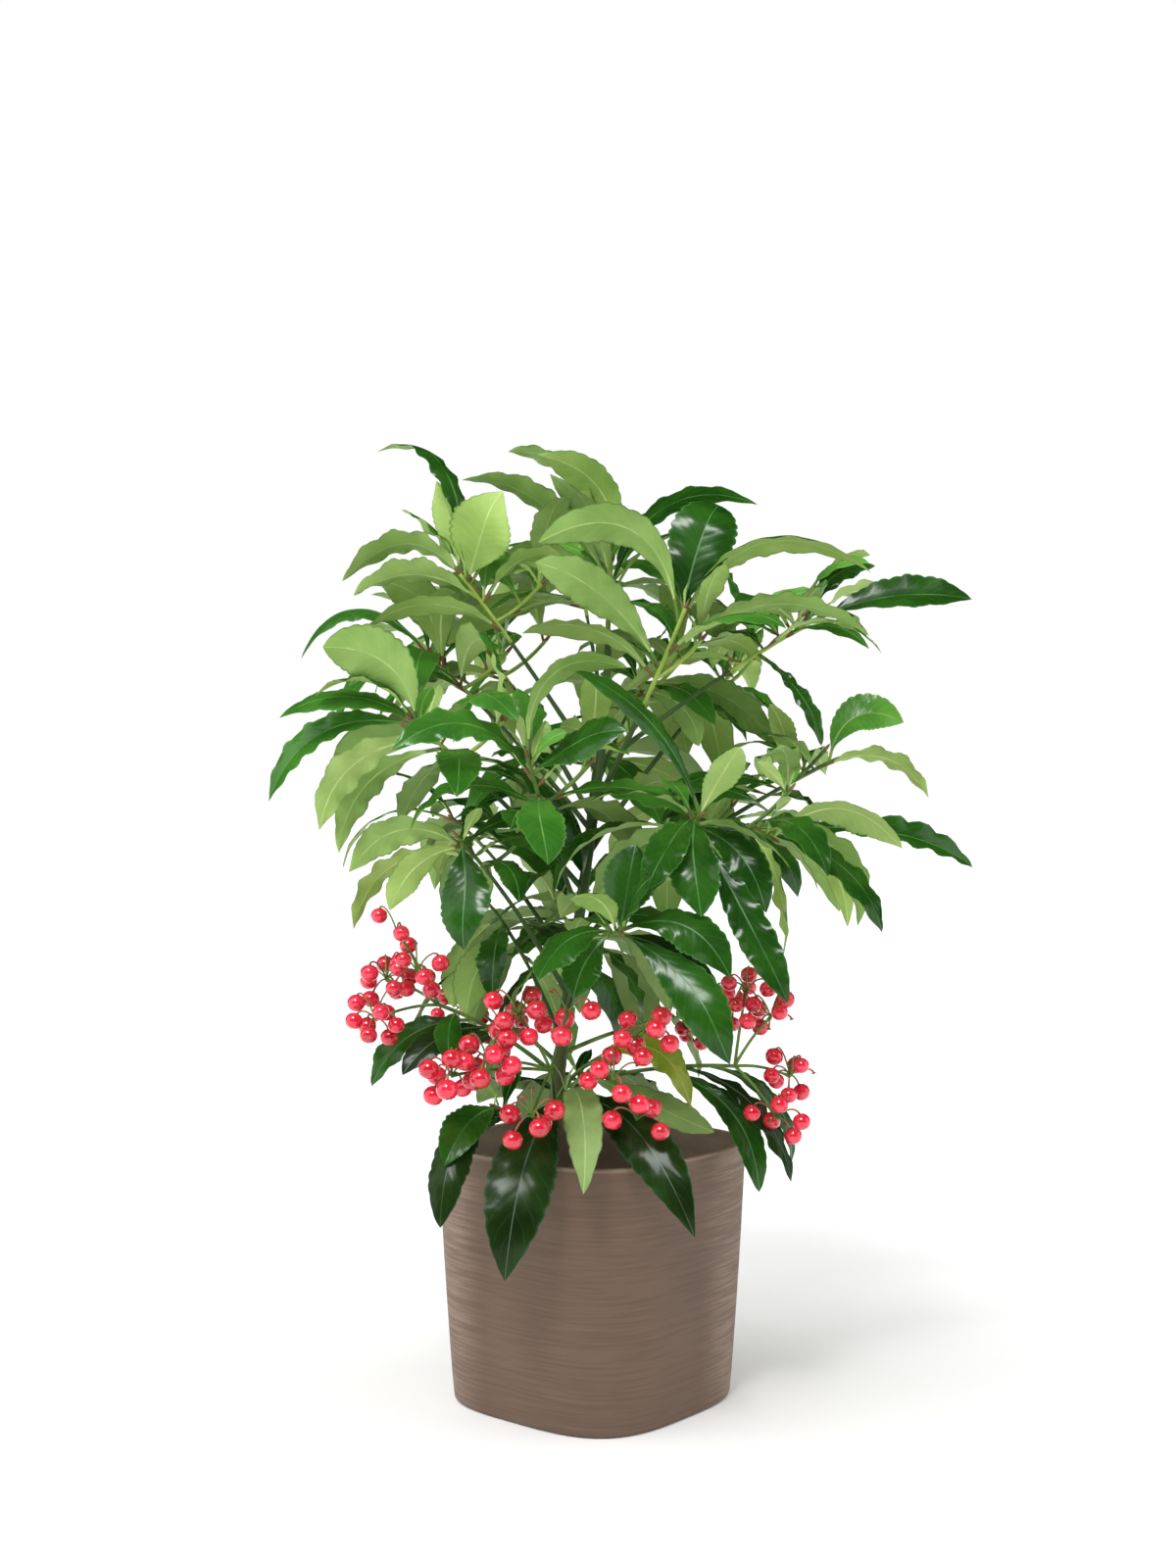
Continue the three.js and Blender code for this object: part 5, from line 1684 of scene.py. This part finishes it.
# %% The wall's profile
POT_HEIGHT = 129.6
POT_HALF_TOP = 68.4
POT_HALF_FOOT = 61.2
POT_SQUARENESS = 3.34
POT_TURN = math.radians(39.8)
POT_WALL = 3.0
POT_FLOOR = 5.0
POT_SWELL = 0.5
FOOT_ROUND = 2.6
RIM_ROUND = 1.1
ARC_STEPS = 6


def wall_half(z):
    """The wall's half width at a height: it widens upward and swells a little at mid height."""
    share = z / POT_HEIGHT
    return mix(POT_HALF_FOOT, POT_HALF_TOP, share) + POT_SWELL * 4 * share * (1 - share)


def arc(centre_r, centre_z, radius, start, end):
    angles = [math.radians(mix(start, end, i / ARC_STEPS)) for i in range(ARC_STEPS + 1)]
    return [(centre_r + radius * math.cos(a), centre_z + radius * math.sin(a)) for a in angles]


profile = [
    (0, 0),
    *arc(wall_half(0) - FOOT_ROUND, FOOT_ROUND, FOOT_ROUND, -90, 0),
    *[(wall_half(z), z) for z in np.linspace(12, 120, 10)],
    *arc(POT_HALF_TOP - RIM_ROUND, POT_HEIGHT - RIM_ROUND, RIM_ROUND, 0, 90),
    *arc(POT_HALF_TOP - POT_WALL + RIM_ROUND, POT_HEIGHT - RIM_ROUND, RIM_ROUND, 90, 180),
    *[(wall_half(z) - POT_WALL, z) for z in np.linspace(118, 14, 9)],
    (wall_half(0) - POT_WALL - FOOT_ROUND, POT_FLOOR),
    (0, POT_FLOOR),
]
print("the wall's profile has", len(profile), "points")

# %% Spinning a profile
SPIN_STEPS = 96
WELD_METRES = 0.00001


def squareness(vert):
    """How far a point of the circle is pushed out to lie on the rounded square."""
    angle = math.atan2(vert.co.y, vert.co.x) + POT_TURN
    corner = abs(math.cos(angle)) ** POT_SQUARENESS + abs(math.sin(angle)) ** POT_SQUARENESS
    return corner ** (-1 / POT_SQUARENESS)


def spin_squared(points):
    """A closed shell: the profile spun round the middle, then pushed out to the rounded square."""
    bm = bmesh.new()
    verts = [bm.verts.new((r * MM, 0, z * MM)) for r, z in points]
    edges = [bm.edges.new(pair) for pair in zip(verts, verts[1:])]
    bmesh.ops.spin(bm, geom=verts + edges, angle=FULL_TURN, steps=SPIN_STEPS, axis=(0, 0, 1),
                   cent=(0, 0, 0), use_merge=True)
    bmesh.ops.remove_doubles(bm, verts=bm.verts[:], dist=WELD_METRES)
    for vert in bm.verts:
        vert.co.xy *= squareness(vert)
    bmesh.ops.recalc_face_normals(bm, faces=bm.faces[:])
    return bm


def finish_piece(bm, name, materials, slot, node):
    mesh = bpy.data.meshes.new(name)
    for face in bm.faces:
        face.smooth = True
    bm.to_mesh(mesh)
    bm.free()
    for material in materials:
        mesh.materials.append(material)
    return add_piece(name, mesh, slot, node)


print("the profile is spun in", SPIN_STEPS, "steps")

# %% [markdown]
# ## Planter finishes
# The outside is brushed brown resin: fine level streaks over broader cloudy ones. Its corners at the
# left and right carry a painted sheen, broken up by the streaks, and the top of its rim is paler. The
# inside is smoother, and painted paler all over: painted light that lifts the shade inside the planter.
# All of it is worked out from Object coordinates, which are in metres here, so the streaks run round
# the wall without a seam.

# %% Planter finishes
STREAK_SHARES = {"fine": 0.6, "level": 0.15, "cloudy": 0.25}
SIDE_SHEEN_FROM, SIDE_SHEEN_TO = 0.052, 0.07
RIM_FROM, RIM_TO = 0.1272, 0.1292


def streaked_resin_with_side_sheen():
    finish = Finish("streaked brown resin with side sheen", roughness=0.66)
    fine = finish.noise(scale=36.0, detail=5.0, stretch=(1.0, 1.0, 24.0))
    level = finish.noise(scale=11.0, detail=3.0, stretch=(1.0, 1.0, 15.0))
    cloudy = finish.noise(scale=17.0, detail=4.0)
    streaks = finish.math("MULTIPLY", level, STREAK_SHARES["level"])
    streaks = finish.math("MULTIPLY_ADD", fine, STREAK_SHARES["fine"], streaks)
    streaks = finish.math("MULTIPLY_ADD", cloudy, STREAK_SHARES["cloudy"], streaks)
    body = finish.blend(finish.spread(streaks, low=0.36, high=0.64), "5f4b3c", "6b5545")
    across, _, height = finish.coordinates("ShaderNodeTexCoord", "Object")
    # A painted sheen on the corners at the left and right, where the side lamps light the resin, broken
    # up by the streaks
    corner = finish.spread(finish.math("ABSOLUTE", across), SIDE_SHEEN_FROM, SIDE_SHEEN_TO)
    # Paler towards the top of the rim
    rim = finish.spread(height, RIM_FROM, RIM_TO, to_low=0.0, to_high=0.7)
    streaky_sheen = finish.spread(streaks, low=0.42, high=0.6, to_low=0.2, to_high=0.6)
    sheen_and_pale_rim = finish.math("MAXIMUM", finish.math("MULTIPLY", streaky_sheen, corner), rim)
    finish.colour(finish.blend(sheen_and_pale_rim, body, "a08b7b"))
    finish.relief(fine, strength=0.06, distance=0.0005)
    return finish.material


# The inside is painted paler than the outside: painted light that lifts the shade inside the planter
INSIDE_RESIN_PAINTED_LIGHT = mottled_finish("inside resin painted light", 0.75, "7d6a5c", "998575", scale=22.0, detail=5.0,
                             stretch=(1, 1, 2.5), strength=0.1, distance=0.0005)
RESINS = [streaked_resin_with_side_sheen(), INSIDE_RESIN_PAINTED_LIGHT]
print("planter finishes:", [material.name for material in RESINS])

# %% Planter
planter = finish_piece(spin_squared(profile), "planter_shell", RESINS, "planter", "planter")
# Faces of the inside above its floor take the second, paler finish, which is painted light
for polygon in planter.data.polygons:
    middle = polygon.center / MM
    inward = polygon.normal.x * middle.x + polygon.normal.y * middle.y < 0
    polygon.material_index = int(middle.z > POT_FLOOR + 1 and inward)
print("planter:", triangles(planter), "triangles")

# %% [markdown]
# ## Soil
# The potting mix is a dark, crumbly bed of bark and peat a few centimetres below the rim. Its surface
# is spun like the planter, then heaved by fractal noise, and a few hundred crumbs lie on it.

# %% Soil bed
SOIL_PLAY = 1.0
SOIL_DEPTH = 14.0
SOIL_HEAVE, SOIL_SETTLE = 1.6, 0.4
HEAVE_SCALE, HEAVE_ROUGHNESS, HEAVE_FINENESS, HEAVE_ROUNDS = 160, 0.8, 2.0, 4
soil_half = wall_half(SOIL_TOP) - POT_WALL - SOIL_PLAY
soil_profile = [
    (0, SOIL_TOP - SOIL_DEPTH), (soil_half - 2, SOIL_TOP - SOIL_DEPTH),
    (soil_half, SOIL_TOP - 3), (soil_half - 1, SOIL_TOP),
    *[(r, SOIL_TOP) for r in np.linspace(soil_half - 3, 0, 28)],
]
bm = spin_squared(soil_profile)
for vert in bm.verts:
    if vert.co.z > (SOIL_TOP - 0.5) * MM:
        lumps = noise.fractal(vert.co * HEAVE_SCALE, HEAVE_ROUGHNESS, HEAVE_FINENESS, HEAVE_ROUNDS)
        vert.co.z += (lumps * SOIL_HEAVE - SOIL_SETTLE) * MM
potting_mix = mottled_finish("potting mix", 0.95, "20160f", "4c382a", scale=260.0, detail=8.0,
                             stretch=(1, 1, 1), strength=0.9, distance=0.002)
soil = finish_piece(bm, "soil_bed", [potting_mix], "soil", "soil")
print("soil:", triangles(soil), "triangles")

# %% Crumbs of bark on the soil
CRUMBS = 260
CRUMBS_SEED = 15001
CRUMBS_REACH = 0.94
CRUMB_SIZE = (0.8, 3.2)
CRUMB_BREADTH = (0.4, 0.9)
CRUMB_THICKNESS = 0.45
CRUMB_SUNK = 0.3
DARK_CRUMB_SHARE = 0.7
bm = bmesh.new()
bmesh.ops.create_icosphere(bm, subdivisions=1, radius=1)
crumb = Master(bm)
heap, draw = Heap(), chance(CRUMBS_SEED)
for _ in range(CRUMBS):
    angle, radius = FULL_TURN * draw(), soil_half * CRUMBS_REACH * math.sqrt(draw())
    size = mix(*CRUMB_SIZE, draw() ** 2)
    axis = unit(np.array([draw() - 0.5, draw() - 0.5, 0.8]))
    shape = crumb.points * np.array([1, mix(*CRUMB_BREADTH, draw()), CRUMB_THICKNESS]) * size
    place = np.array([math.cos(angle) * radius, math.sin(angle) * radius, SOIL_TOP + CRUMB_SUNK * size])
    heap.add(hung(shape, place, axis), crumb.faces, int(draw() > DARK_CRUMB_SHARE))
dark_chip = stem_finish("bark crumb", "33241a", "5a4230", roughness=0.9)
pale_chip = stem_finish("pale crumb", "6d5640", "8d7458", roughness=0.9)
crumbs = heap.make("soil_crumbs", [dark_chip, pale_chip], "soil", "soil", smooth=False)
print("crumbs:", triangles(crumbs), "triangles")

# %% Sizes and finish
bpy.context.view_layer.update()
pieces = [thing for thing in bpy.data.objects if thing.type == "MESH" and not thing.hide_render]
print("triangles in all, without the floor:", triangles(*pieces) - triangles(floor))
